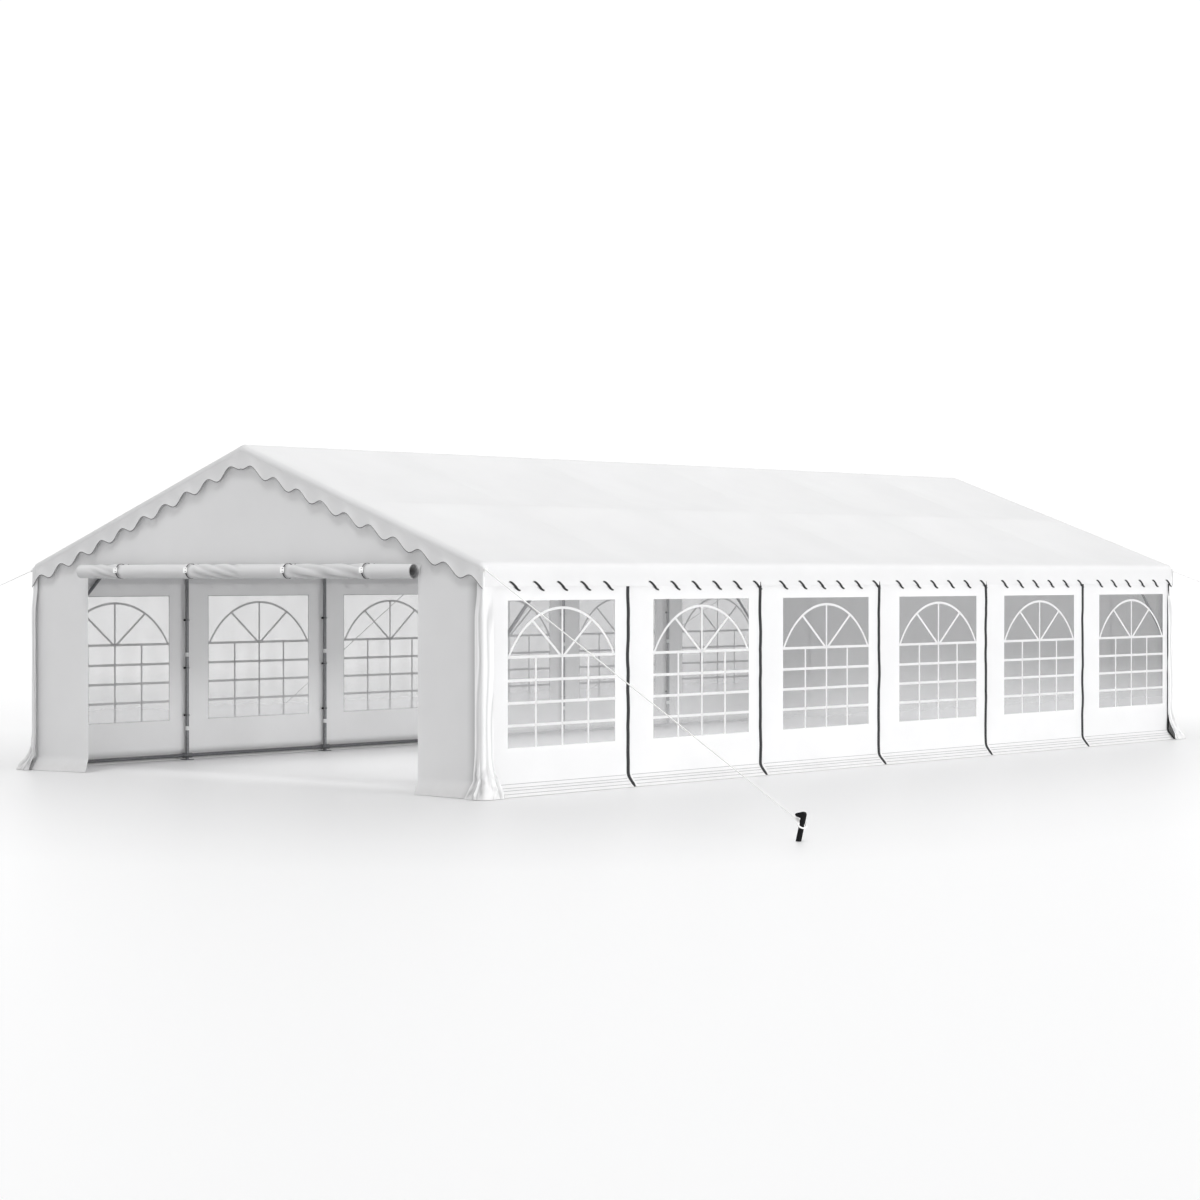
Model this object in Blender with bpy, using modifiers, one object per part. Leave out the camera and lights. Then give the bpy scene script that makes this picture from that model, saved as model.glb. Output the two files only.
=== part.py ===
"""Marquee tent, 6 m wide and 12 m long, in six bays: a frame of steel tubes, a white cloth cover with
arched windows, the front door rolled up under the gable, and guy ropes on ground pegs.

Metres, +Z up. The origin is at the centre of the tent's plan, on the ground, and the open gable faces -Y.
"""

import math

import bmesh
import bpy
from mathutils import Matrix, Vector

# Outside sizes of the cloth cover
WIDTH = 6.0
LENGTH = 12.0
EAVE_HEIGHT = 2.02
RIDGE_HEIGHT = 3.12
BAYS = 6

# Cloth, window film, and the gap that touching pieces keep
CLOTH = 0.004
FILM = 0.002
GAP = 0.0003
SMOOTH_ANGLE = math.radians(40)

# Steel tubes, and the sleeves that join them
TUBE_RADIUS = 0.019
BRACE_RADIUS = 0.016
SLEEVE_RADIUS = 0.026
SLEEVE_HALF = 0.06
END_SETBACK = 0.06
TUBE_SIDES = 10
GROUND_RAIL_HEIGHT = 0.045
BRACE_REACH = 0.88
FOOT_SIDE = 0.1
FOOT_THICKNESS = 0.006

# Valances: the straight strips along the eaves and the scalloped ones under the gables
EAVE_VALANCE_BOTTOM = 1.815
SCALLOP_PITCH = 0.3
SCALLOP_DEPTH = 0.04
SCALLOP_DROP = 0.195
SCALLOP_STEPS = 8

# Wall cloth: a flat sheet whose skirt kicks out over the ground
WALL_TOP = 1.94
SKIRT_RISE = 0.09
SKIRT_OUT = 0.085
SEAM_SHIFT = -0.035

# Corner flaps: loose strips that wrap each corner and spread at the foot, over the skirts
FLAP_FRONT = 0.09
FLAP_SIDE = 0.11
FLAP_TOP = 1.9
FLAP_RISE = 0.16
FLAP_OUT = 0.13

# Windows
WINDOW_WIDTH = 1.45
WINDOW_BOTTOM = 0.42
WINDOW_TOP = 1.695
WINDOW_SHIFT = 0.05
FILM_MARGIN = 0.03

# Door opening, with the curtain rolled up at the front and closed at the rear
DOOR_HALF = 2.2
DOOR_TOP = 1.95
ROLL_RADIUS = 0.068
ROLL_HEIGHT = 1.95
ROLL_LEFT = -2.18
ROLL_RIGHT = 2.245
ROLL_SIDES = 20

# Guy ropes and pegs
ROPE_RADIUS = 0.0045
ROPE_SIDES = 8
ROPE_TOP = 1.965
ROPE_INSET = 0.02
PEG_OUT = 4.37
PEG_BEYOND = 1.445
MIDDLE_PEG_OUT = 2.7
MIDDLE_PEG_Y = -0.3
PEG_HEIGHT = 0.22
PEG_WIDTH = 0.036
PEG_THICKNESS = 0.022
PEG_HOOK = 0.09
PEG_LEAN = math.radians(14.0)
PEG_NECK = 0.125
PEG_NECK_WIDTH = 0.027
PEG_WAIST = 0.02
PEG_HOOK_DROP = 0.036
PEG_HOOK_DEPTH = 0.05
PEG_CORNER = 0.012
LOOP_RADIUS = math.hypot(PEG_NECK_WIDTH, PEG_THICKNESS) / 2 + ROPE_RADIUS + GAP
LOOP_STEPS = 16

# How far the pegs' outlines and the ropes run past the faces that cut them, and how big the cutters are
PEG_BURIED = 0.03
ROPE_SPARE = 0.018
GROUND_CUT = 0.2
EAVE_CUT = 0.1

# Points closer than this are one point
SAME_POINT = 1e-6

# Planes that follow from those sizes, counted outwards from the tent's centre
HALF_WIDTH = WIDTH / 2
HALF_LENGTH = LENGTH / 2
LAYER = CLOTH + GAP
FLAP_OUTER_X = HALF_WIDTH - LAYER
FLAP_OUTER_Y = HALF_LENGTH - LAYER
WALL_OUTER_X = FLAP_OUTER_X - LAYER
WALL_INNER_X = WALL_OUTER_X - CLOTH
GABLE_OUTER_Y = FLAP_OUTER_Y - LAYER
GABLE_INNER_Y = GABLE_OUTER_Y - CLOTH
POST_X = WALL_INNER_X - GAP - SLEEVE_RADIUS
END_FRAME_Y = GABLE_INNER_Y - GAP - END_SETBACK
BAY = LENGTH / BAYS
SLOPE = (RIDGE_HEIGHT - EAVE_HEIGHT) / HALF_WIDTH
SLOPE_STRETCH = math.hypot(1.0, SLOPE)


def roof_top(x):
    """Height of the roof cloth's upper face at a distance x from the ridge line."""
    return RIDGE_HEIGHT - SLOPE * abs(x)


def roof_under(x, depth):
    """Height of a line that runs a depth below the roof's upper face, square to the slope."""
    return roof_top(x) - depth * SLOPE_STRETCH


# A sleeve is faceted, with an edge on top, so it reaches a little less far towards the sloping cloth
FACET = 2 * math.pi / TUBE_SIDES
FACET_TURN = math.atan(SLOPE) % FACET
SLEEVE_REACH = SLEEVE_RADIUS * math.cos(min(FACET_TURN, FACET - FACET_TURN))
TUBE_DEPTH = LAYER + SLEEVE_REACH
EAVE_TUBE_Z = roof_under(POST_X, TUBE_DEPTH)
RIDGE_TUBE_Z = roof_under(0.0, TUBE_DEPTH)
PURLIN_X = POST_X / 2
PURLIN_Z = roof_under(PURLIN_X, TUBE_DEPTH)

# Places of the extruded outlines: local x and y draw the outline, local z is the extrusion
ALONG_Y = Matrix(((1, 0, 0, 0), (0, 0, -1, 0), (0, 1, 0, 0), (0, 0, 0, 1)))
ALONG_X = Matrix(((0, 0, 1, 0), (1, 0, 0, 0), (0, 1, 0, 0), (0, 0, 0, 1)))


def clear_scene():
    """Removes every object that the file holds."""
    for item in list(bpy.data.objects):
        bpy.data.objects.remove(item)


def new_collection(name):
    """Adds a collection under the scene's own."""
    collection = bpy.data.collections.new(name)
    bpy.context.scene.collection.children.link(collection)
    return collection


def new_material(name, colour, roughness, metallic=0.0, alpha=1.0):
    """A Principled material of one colour."""
    material = bpy.data.materials.new(name)
    material.use_nodes = True
    shader = material.node_tree.nodes["Principled BSDF"]
    shader.inputs["Base Color"].default_value = (*colour, 1.0)
    shader.inputs["Roughness"].default_value = roughness
    shader.inputs["Metallic"].default_value = metallic
    shader.inputs["Alpha"].default_value = alpha
    return material


clear_scene()
TENT = new_collection("marquee_tent")
WORKSHOP = new_collection("workshop")
WHITE_CLOTH = new_material("white_cloth", (0.9, 0.9, 0.9), 0.55)
CLEAR_FILM = new_material("clear_film", (0.75, 0.77, 0.8), 0.1, alpha=0.35)
STEEL = new_material("galvanised_steel", (0.45, 0.46, 0.48), 0.4, metallic=0.8)
WHITE_ROPE = new_material("white_rope", (0.88, 0.88, 0.86), 0.8)
BLACK_PLASTIC = new_material("black_plastic", (0.02, 0.02, 0.022), 0.45)


def add_object(name, data, material=None, collection=WORKSHOP):
    """Links a new object, in the workshop unless it is a finished piece."""
    item = bpy.data.objects.new(name, data)
    if material is not None:
        item.data.materials.clear()
        item.data.materials.append(material)
    collection.objects.link(item)
    return item


def finish(item, name, material):
    """Turns a workshop object into one named piece of the tent, as a mesh in its place."""
    bpy.context.view_layer.update()
    evaluated = item.evaluated_get(bpy.context.evaluated_depsgraph_get())
    mesh = bpy.data.meshes.new_from_object(evaluated)
    mesh.transform(item.matrix_world)
    weld(mesh)
    bpy.data.objects.remove(item)
    add_object(name, mesh, material, TENT)
    mesh.shade_smooth()
    mesh.set_sharp_from_angle(angle=SMOOTH_ANGLE)


def weld(mesh):
    """Joins the points that a curve's caps leave apart."""
    shape = bmesh.new()
    shape.from_mesh(mesh)
    bmesh.ops.remove_doubles(shape, verts=shape.verts, dist=SAME_POINT)
    bmesh.ops.recalc_face_normals(shape, faces=shape.faces)
    shape.to_mesh(mesh)
    shape.free()


def box(low, high):
    """A block between two corners, in the workshop."""
    low, high = Vector(low), Vector(high)
    shape = bmesh.new()
    size = Matrix.Diagonal((*(high - low), 1.0))
    bmesh.ops.create_cube(shape, size=1.0, matrix=Matrix.Translation((low + high) / 2) @ size)
    return from_bmesh("block", shape)


def bar(start, end, radius, sides=TUBE_SIDES):
    """A round bar between two points, in the workshop."""
    start, end = Vector(start), Vector(end)
    turn = (end - start).to_track_quat("Z", "Y").to_matrix().to_4x4()
    shape = bmesh.new()
    bmesh.ops.create_cone(
        shape,
        cap_ends=True,
        segments=sides,
        radius1=radius,
        radius2=radius,
        depth=(end - start).length,
        matrix=Matrix.Translation((start + end) / 2) @ turn,
    )
    return from_bmesh("bar", shape)


def from_bmesh(name, shape):
    """Makes a workshop object of a bmesh, and frees it."""
    mesh = bpy.data.meshes.new(name)
    shape.to_mesh(mesh)
    shape.free()
    return add_object(name, mesh)


def bent_tube(points, radius, sides=TUBE_SIDES, closed=False):
    """One tube along a line of points, with mitred bends, closed at its ends or into a ring."""
    curve = bpy.data.curves.new("tube", "CURVE")
    curve.dimensions = "3D"
    curve.bevel_depth = radius
    curve.bevel_resolution = (sides - 4) // 2
    curve.use_fill_caps = not closed
    spline = curve.splines.new("POLY")
    spline.points.add(len(points) - 1)
    for spot, place in zip(spline.points, points):
        spot.co = (*place, 1.0)
    spline.use_cyclic_u = closed
    return to_workshop_mesh(add_object("tube", curve))


def to_workshop_mesh(item):
    """Makes a curve a mesh in its place, with its caps welded, so that a Boolean can use it."""
    bpy.context.view_layer.update()
    evaluated = item.evaluated_get(bpy.context.evaluated_depsgraph_get())
    mesh = bpy.data.meshes.new_from_object(evaluated)
    weld(mesh)
    made = add_object(item.name + "_mesh", mesh)
    made.matrix_world = item.matrix_world.copy()
    bpy.data.objects.remove(item)
    return made


def outline_plate(outline, thickness, placing, middle=0.0):
    """A flat outline with a thickness, placed by a matrix, with its middle at a distance along it."""
    curve = bpy.data.curves.new("plate", "CURVE")
    curve.dimensions = "2D"
    curve.fill_mode = "BOTH"
    curve.extrude = thickness / 2
    spline = curve.splines.new("POLY")
    spline.points.add(len(outline) - 1)
    for spot, (across, up) in zip(spline.points, outline):
        spot.co = (across, up, 0.0, 1.0)
    spline.use_cyclic_u = True
    item = add_object("plate", curve)
    item.matrix_world = placing @ Matrix.Translation((0.0, 0.0, middle))
    return to_workshop_mesh(item)


def change(base, others, operation):
    """Gives base one Boolean modifier for each of the other workshop objects."""
    for other in others:
        modifier = base.modifiers.new(operation.lower(), "BOOLEAN")
        modifier.operation = operation
        modifier.solver = "EXACT"
        modifier.object = other
        other.hide_render = True
        other.display_type = "WIRE"


def fuse(pieces, cutters=()):
    """Joins workshop objects into the first of them, then takes the cutters out of it."""
    base, rest = pieces[0], pieces[1:]
    change(base, rest, "UNION")
    change(base, cutters, "DIFFERENCE")
    bpy.context.view_layer.update()
    evaluated = base.evaluated_get(bpy.context.evaluated_depsgraph_get())
    mesh = bpy.data.meshes.new_from_object(evaluated)
    mesh.transform(base.matrix_world)
    weld(mesh)
    for item in (*pieces, *cutters):
        bpy.data.objects.remove(item)
    return add_object("fused", mesh)


def rail_places():
    """Where each lengthwise rail runs: its name, and its x and z."""
    places = {"ridge_rail": (0.0, RIDGE_TUBE_Z)}
    for side, sign in SIDES:
        places[f"purlin_{side}"] = (sign * PURLIN_X, PURLIN_Z)
        places[f"eave_rail_{side}"] = (sign * POST_X, EAVE_TUBE_Z)
        places[f"ground_rail_{side}"] = (sign * POST_X, GROUND_RAIL_HEIGHT)
    return places


SIDES = (("left", -1), ("right", 1))
ENDS = (("front", -1), ("rear", 1))
RAILS = rail_places()


def foot(x, y):
    """The square plate that a post stands on."""
    half = FOOT_SIDE / 2
    return box((x - half, y - half, 0.0), (x + half, y + half, FOOT_THICKNESS))


def make_portal_frame(name, y, brace_direction):
    """Two posts and two rafters in one bent line, with a sleeve round each rail that crosses them.

    An end frame also has a knee brace on each post, which runs along the wall to the eave rail.
    """
    line = [
        (-POST_X, y, FOOT_THICKNESS / 2),
        (-POST_X, y, EAVE_TUBE_Z),
        (0.0, y, RIDGE_TUBE_Z),
        (POST_X, y, EAVE_TUBE_Z),
        (POST_X, y, FOOT_THICKNESS / 2),
    ]
    pieces = [bent_tube(line, TUBE_RADIUS)]
    low, high = sleeve_ends(y, brace_direction)
    for x, z in RAILS.values():
        pieces.append(bar((x, low, z), (x, high, z), SLEEVE_RADIUS))
    for _side, sign in SIDES:
        pieces.append(foot(sign * POST_X, y))
        if brace_direction:
            pieces += knee_brace(sign * POST_X, y, brace_direction)
    cutters = [
        bar((x, -LENGTH, z), (x, LENGTH, z), TUBE_RADIUS + GAP) for x, z in RAILS.values()
    ]
    finish(fuse(pieces, cutters), name, STEEL)


def sleeve_ends(y, inwards):
    """Where a frame's sleeves begin and end along the tent. An end frame's reach inwards only."""
    reaches = {0: (SLEEVE_HALF, SLEEVE_HALF), 1: (TUBE_RADIUS, SLEEVE_HALF), -1: (SLEEVE_HALF, TUBE_RADIUS)}
    below, above = reaches[inwards]
    return y - below, y + above


def knee_brace(x, y, direction):
    """A slanting brace from a post to a sleeve on the eave rail."""
    top_y = y + direction * BRACE_REACH
    brace = bar((x, y, EAVE_TUBE_Z - BRACE_REACH), (x, top_y, EAVE_TUBE_Z), BRACE_RADIUS)
    sleeve = bar(
        (x, top_y - SLEEVE_HALF, EAVE_TUBE_Z), (x, top_y + SLEEVE_HALF, EAVE_TUBE_Z), SLEEVE_RADIUS
    )
    return [brace, sleeve]


def make_frames():
    """One portal frame at each end and between the bays."""
    for number in range(BAYS + 1):
        y = max(-END_FRAME_Y, min(END_FRAME_Y, -HALF_LENGTH + number * BAY))
        brace_direction = {0: 1, BAYS: -1}.get(number, 0)
        make_portal_frame(f"portal_frame_{number + 1}", y, brace_direction)


def make_rails():
    """The ridge, purlin, eave and ground rails, which run through the frames' sleeves."""
    reach = END_FRAME_Y + TUBE_RADIUS
    for name, (x, z) in RAILS.items():
        finish(bar((x, -reach, z), (x, reach, z), TUBE_RADIUS), name, STEEL)


def make_roof():
    """The two slopes of the cover, each with the straight valance that hangs at its eave."""
    inner_x = HALF_WIDTH - CLOTH
    for side, sign in SIDES:
        outline = [
            (GAP / 2, roof_top(GAP / 2)),
            (HALF_WIDTH, EAVE_HEIGHT),
            (HALF_WIDTH, EAVE_VALANCE_BOTTOM),
            (inner_x, EAVE_VALANCE_BOTTOM),
            (inner_x, roof_under(inner_x, CLOTH)),
            (GAP / 2, roof_under(GAP / 2, CLOTH)),
        ]
        outline = [(sign * across, up) for across, up in outline]
        finish(outline_plate(outline, LENGTH, ALONG_Y), f"roof_{side}", WHITE_CLOTH)


def scallop_edge(x):
    """Height of the gable valance's lower edge: scallops that follow the slope."""
    wave = SCALLOP_DEPTH * math.cos(2 * math.pi * x / SCALLOP_PITCH)
    return roof_top(x) - SCALLOP_DROP - wave


def make_gable_valances():
    """The scalloped strip that hangs from each end of the roof."""
    reach = HALF_WIDTH - LAYER
    steps = round(2 * reach / SCALLOP_PITCH) * SCALLOP_STEPS
    top = [(x, roof_under(x, LAYER)) for x in (reach, 0.0, -reach)]
    lower = [-reach + 2 * reach * step / steps for step in range(steps + 1)]
    outline = top + [(x, scallop_edge(x)) for x in lower]
    for end, sign in ENDS:
        middle = -sign * (HALF_LENGTH - CLOTH / 2)
        plate = outline_plate(outline, CLOTH, ALONG_Y, middle)
        finish(plate, f"{end}_valance", WHITE_CLOTH)


def wall_profile(outer, sign, top):
    """The section of a wall cloth: a flat sheet down to its skirt, which kicks out to the ground."""
    inner = outer - CLOTH
    outline = [
        (inner, top),
        (outer, top),
        (outer, SKIRT_RISE),
        (outer + SKIRT_OUT, CLOTH),
        (outer + SKIRT_OUT, 0.0),
        (outer + SKIRT_OUT - CLOTH, 0.0),
        (inner, SKIRT_RISE - CLOTH),
    ]
    return [(sign * across, up) for across, up in outline]


def seam_y(number):
    """Where the seam behind a numbered bay runs, as a distance along the tent."""
    return -HALF_LENGTH + number * BAY + SEAM_SHIFT


def window_y(bay):
    """The middle of a bay's window."""
    return -HALF_LENGTH + (bay + 0.5) * BAY + WINDOW_SHIFT


def make_side_walls():
    """Six cloth panels a side, each with its window cut through."""
    for side, sign in SIDES:
        profile = wall_profile(WALL_OUTER_X, sign, WALL_TOP)
        for bay in range(BAYS):
            low = -GABLE_OUTER_Y if bay == 0 else seam_y(bay) + GAP / 2
            high = GABLE_OUTER_Y if bay == BAYS - 1 else seam_y(bay + 1) - GAP / 2
            panel = outline_plate(profile, high - low, ALONG_Y, -(low + high) / 2)
            half = WINDOW_WIDTH / 2
            near, far = sorted((sign * (WALL_INNER_X - CLOTH), sign * (WALL_OUTER_X + CLOTH)))
            window = box(
                (near, window_y(bay) - half, WINDOW_BOTTOM), (far, window_y(bay) + half, WINDOW_TOP)
            )
            finish(fuse([panel], [window]), f"{side}_wall_{bay + 1}", WHITE_CLOTH)


def make_window_film():
    """One clear sheet along the inside of each side wall, which closes its six windows."""
    outer = WALL_INNER_X - GAP
    half = WINDOW_WIDTH / 2 + FILM_MARGIN
    for side, sign in SIDES:
        near, far = sorted((sign * outer, sign * (outer - FILM)))
        sheet = box(
            (near, window_y(0) - half, WINDOW_BOTTOM - FILM_MARGIN),
            (far, window_y(BAYS - 1) + half, WINDOW_TOP + FILM_MARGIN),
        )
        finish(sheet, f"{side}_window_film", CLEAR_FILM)


def make_gable_walls():
    """At each end, the cloth over the door and the two fixed panels beside it."""
    reach = WALL_INNER_X - GAP
    gable = [(-reach, DOOR_TOP), (reach, DOOR_TOP)]
    gable += [(x, roof_under(x, LAYER)) for x in (reach, 0.0, -reach)]
    for end, sign in ENDS:
        middle = -sign * (GABLE_OUTER_Y - CLOTH / 2)
        finish(outline_plate(gable, CLOTH, ALONG_Y, middle), f"{end}_gable_cloth", WHITE_CLOTH)
        profile = wall_profile(GABLE_OUTER_Y, sign, DOOR_TOP - GAP)
        for side, side_sign in SIDES:
            panel = outline_plate(
                profile, reach - DOOR_HALF, ALONG_X, side_sign * (reach + DOOR_HALF) / 2
            )
            finish(panel, f"{end}_side_cloth_{side}", WHITE_CLOTH)


def make_door_curtains():
    """The front curtain rolled up across the gable, and the rear one hanging closed."""
    y = -(GABLE_OUTER_Y + GAP + ROLL_RADIUS)
    roll = bar((ROLL_LEFT, y, ROLL_HEIGHT), (ROLL_RIGHT, y, ROLL_HEIGHT), ROLL_RADIUS, ROLL_SIDES)
    finish(roll, "front_door_roll", WHITE_CLOTH)
    profile = wall_profile(GABLE_OUTER_Y, 1, DOOR_TOP - GAP)
    curtain = outline_plate(profile, 2 * (DOOR_HALF - GAP), ALONG_X)
    finish(curtain, "rear_door_curtain", WHITE_CLOTH)


def make_corner_flaps():
    """A loose strip round each corner of the walls: an open surface that is given its thickness."""
    levels = [(0.0, FLAP_TOP), (0.0, FLAP_RISE), (FLAP_OUT, CLOTH)]
    for end, end_sign in ENDS:
        for side, sign in SIDES:
            shape = bmesh.new()
            rows = []
            for out, height in levels:
                corner = Vector((FLAP_OUTER_X + out, FLAP_OUTER_Y + out, height))
                row = [corner - Vector((FLAP_FRONT + out, 0.0, 0.0)), corner]
                row.append(corner - Vector((0.0, FLAP_SIDE + out, 0.0)))
                turned = [Vector((sign * spot.x, end_sign * spot.y, spot.z)) for spot in row]
                rows.append([shape.verts.new(spot) for spot in turned])
            for upper, lower in zip(rows, rows[1:]):
                for step in range(2):
                    shape.faces.new((upper[step], upper[step + 1], lower[step + 1], lower[step]))
            if sign * end_sign < 0:
                bmesh.ops.reverse_faces(shape, faces=shape.faces)
            flap = from_bmesh("flap", shape)
            solid = flap.modifiers.new("thickness", "SOLIDIFY")
            solid.thickness = CLOTH
            solid.offset = -1.0
            solid.use_even_offset = True
            finish(flap, f"{end}_corner_flap_{side}", WHITE_CLOTH)


def peg_outline():
    """The flat shape of a peg: a shank with a narrow neck, and a head that hooks out over the rope."""
    half = PEG_WIDTH / 2
    neck = PEG_NECK_WIDTH / 2
    tip = half - PEG_HOOK
    return [
        (-half, -PEG_BURIED),
        (half, -PEG_BURIED),
        (half, PEG_NECK - PEG_WAIST),
        (neck, PEG_NECK),
        (half, PEG_NECK + PEG_WAIST),
        (half, PEG_HEIGHT - PEG_CORNER),
        (half - PEG_CORNER, PEG_HEIGHT),
        (-half + PEG_CORNER / 2, PEG_HEIGHT),
        (tip + PEG_CORNER, PEG_HEIGHT - PEG_HOOK_DROP + PEG_CORNER),
        (tip, PEG_HEIGHT - PEG_HOOK_DROP),
        (tip + PEG_CORNER, PEG_HEIGHT - PEG_HOOK_DEPTH),
        (-half, PEG_HEIGHT - PEG_HOOK_DEPTH),
        (-half, PEG_NECK + PEG_WAIST),
        (-neck, PEG_NECK),
        (-half, PEG_NECK - PEG_WAIST),
    ]


def peg_matrix(spot, sign):
    """Stands a peg's outline across the tent at a spot, leaning outwards, its hook towards the tent."""
    turn = Matrix(((sign, 0, 0), (0, 0, 1), (0, -sign, 0))).transposed().to_4x4()
    return Matrix.Translation(spot) @ turn @ Matrix.Rotation(-PEG_LEAN, 4, "Z")


def make_guy(name, anchor, spot):
    """One guy rope from its anchor at the eave to a loop round the neck of its peg."""
    anchor, spot = Vector(anchor), Vector(spot)
    place = peg_matrix(spot, math.copysign(1, spot.x))
    plate = outline_plate(peg_outline(), PEG_THICKNESS, place)
    reach = Vector((GROUND_CUT, GROUND_CUT, 0.0))
    ground = box(spot - reach - Vector((0.0, 0.0, GROUND_CUT)), spot + reach)
    finish(fuse([plate], [ground]), f"peg_{name}", BLACK_PLASTIC)
    centre = place @ Vector((0.0, PEG_NECK, 0.0))
    loop = ring(place @ Matrix.Translation((0.0, PEG_NECK, 0.0)), LOOP_RADIUS, ROPE_RADIUS)
    axis = (place.to_3x3() @ Vector((0.0, 1.0, 0.0))).normalized()
    pull = anchor - centre
    pull -= pull.dot(axis) * axis
    start = centre + pull.normalized() * LOOP_RADIUS
    end = anchor + (anchor - start).normalized() * ROPE_SPARE
    rope = bar(start, end, ROPE_RADIUS, ROPE_SIDES)
    face = HALF_WIDTH + GAP
    tent = box(
        (-face, anchor.y - EAVE_CUT, ROPE_TOP - EAVE_CUT), (face, anchor.y + EAVE_CUT, ROPE_TOP + EAVE_CUT)
    )
    finish(fuse([rope, loop], [tent]), f"guy_rope_{name}", WHITE_ROPE)


def ring(placing, radius, thickness):
    """A closed ring of round section about the local y axis, as a workshop mesh."""
    angles = [2 * math.pi * step / LOOP_STEPS for step in range(LOOP_STEPS)]
    points = [placing @ Vector((radius * math.cos(a), 0.0, radius * math.sin(a))) for a in angles]
    return bent_tube(points, thickness, ROPE_SIDES, closed=True)


def make_guys():
    """A guy at each corner, and one at the middle of the left side."""
    for end, end_sign in ENDS:
        for side, sign in SIDES:
            anchor = (sign * HALF_WIDTH, end_sign * (HALF_LENGTH - ROPE_INSET), ROPE_TOP)
            spot = (sign * (HALF_WIDTH + PEG_OUT), end_sign * (HALF_LENGTH + PEG_BEYOND), 0.0)
            make_guy(f"{end}_{side}", anchor, spot)
    anchor = (-HALF_WIDTH, MIDDLE_PEG_Y, ROPE_TOP)
    make_guy("middle_left", anchor, (-(HALF_WIDTH + MIDDLE_PEG_OUT), MIDDLE_PEG_Y, 0.0))


make_frames()
make_rails()
make_roof()
make_gable_valances()
make_side_walls()
make_window_film()
make_gable_walls()
make_door_curtains()
make_corner_flaps()
make_guys()
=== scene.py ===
"""The looks of a white marquee tent, 6 m wide and 12 m long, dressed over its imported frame.

Metres, +Z up. The open gable faces -Y. Cloth is cut flat, scored and laid in its place on the tent, and
fittings are modelled once and copied. The right side and the front are made, and mirrored to the others.
"""

import logging
import math
from collections.abc import Callable, Iterable, Iterator
from contextlib import contextmanager
from dataclasses import dataclass, field
from enum import Enum

import bmesh
import bpy
from mathutils import Matrix, Vector, noise


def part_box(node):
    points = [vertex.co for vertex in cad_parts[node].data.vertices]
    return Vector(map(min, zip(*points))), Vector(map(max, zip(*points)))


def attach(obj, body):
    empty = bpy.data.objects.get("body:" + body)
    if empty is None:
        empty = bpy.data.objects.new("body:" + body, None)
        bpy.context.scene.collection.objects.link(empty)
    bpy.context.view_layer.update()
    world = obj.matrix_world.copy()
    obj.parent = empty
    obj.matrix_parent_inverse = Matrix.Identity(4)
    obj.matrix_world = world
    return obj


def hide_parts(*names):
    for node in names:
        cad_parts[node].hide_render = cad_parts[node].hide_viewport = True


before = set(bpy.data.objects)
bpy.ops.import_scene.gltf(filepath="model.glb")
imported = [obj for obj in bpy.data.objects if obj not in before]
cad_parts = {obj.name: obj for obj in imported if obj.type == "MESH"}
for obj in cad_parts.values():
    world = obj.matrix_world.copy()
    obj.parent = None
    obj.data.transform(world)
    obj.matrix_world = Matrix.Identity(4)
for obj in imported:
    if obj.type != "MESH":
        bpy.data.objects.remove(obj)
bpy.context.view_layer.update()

BODY = "root"
# The mark on a sheet's points that tells its finish how much painted shade they get, in folds, under things
# and beside them
PAINTED_SHADE = "painted_shade"

Piece = bpy.types.Object
Material = bpy.types.Material
Socket = bpy.types.NodeSocket
Colour = tuple[float, float, float]

log = logging.getLogger("marquee")

# Planes of the tent, read from the frame's boxes
HALF_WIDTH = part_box("roof_right")[1].x
HALF_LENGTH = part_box("roof_right")[1].y
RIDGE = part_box("roof_right")[1].z
VALANCE_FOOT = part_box("roof_right")[0].z
FLAP_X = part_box("front_valance")[1].x
FLAP_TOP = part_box("front_corner_flap_right")[1].z
GABLE_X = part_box("front_gable_cloth")[1].x
WALL_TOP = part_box("right_wall_3")[1].z
DOOR_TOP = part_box("front_gable_cloth")[0].z
DOOR_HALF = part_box("front_side_cloth_right")[0].x
FILM_LOW, FILM_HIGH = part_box("right_window_film")
ROLL_LOW, ROLL_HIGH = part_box("front_door_roll")

# Driving sizes that the boxes don't give
FILM_MARGIN = 0.03
EAVE = 2.02
BAYS = 6
BAY = 2 * HALF_LENGTH / BAYS
SEAM_SHIFT = -0.035
LAYER = 0.0043
WALL_X = FLAP_X - LAYER
OVERHANG = 0.026
GABLE_Y = HALF_LENGTH - 2 * LAYER - OVERHANG
POST_X = 2.9611
POST_RADIUS = 0.019
END_FRAME_Y = 5.927
SLOPE = (RIDGE - EAVE) / HALF_WIDTH
STRETCH = math.hypot(1.0, SLOPE)
FRAME_PLACES = [-END_FRAME_Y, *(-HALF_LENGTH + BAY * bay for bay in range(1, BAYS)), END_FRAME_Y]
# How near to a hem or a cut still counts as on it
NEAR = 1e-4
# How far apart the edges lie that follow a tight bend, and a wide one
TIGHT_STEP = 0.012
WIDE_STEP = 0.02


class Pick(Enum):
    """What a selection holds."""

    POINTS = "VERT"
    EDGES = "EDGE"
    FACES = "FACE"


class Mirror(Enum):
    """The tent's planes of symmetry, as the mirrors that turn one side into another."""

    ACROSS = (-1.0, 1.0, 1.0, 1.0)
    ALONG = (1.0, -1.0, 1.0, 1.0)
    BOTH = (-1.0, -1.0, 1.0, 1.0)


class Slot(Enum):
    """The record's material slots."""

    CLOTH = "white_cloth"
    FILM = "clear_film"
    STEEL = "galvanised_steel"
    ROPE = "white_rope"
    PLASTIC = "black_plastic"


def roof_top(x: float) -> float:
    """Height of the taut roof's outer face at a distance x from the ridge line."""
    return RIDGE - SLOPE * abs(x)


def seam_y(bay: int) -> float:
    """Where the seam in front of a bay runs, counted from 0 at the front."""
    return -HALF_LENGTH + bay * BAY + SEAM_SHIFT


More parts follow.
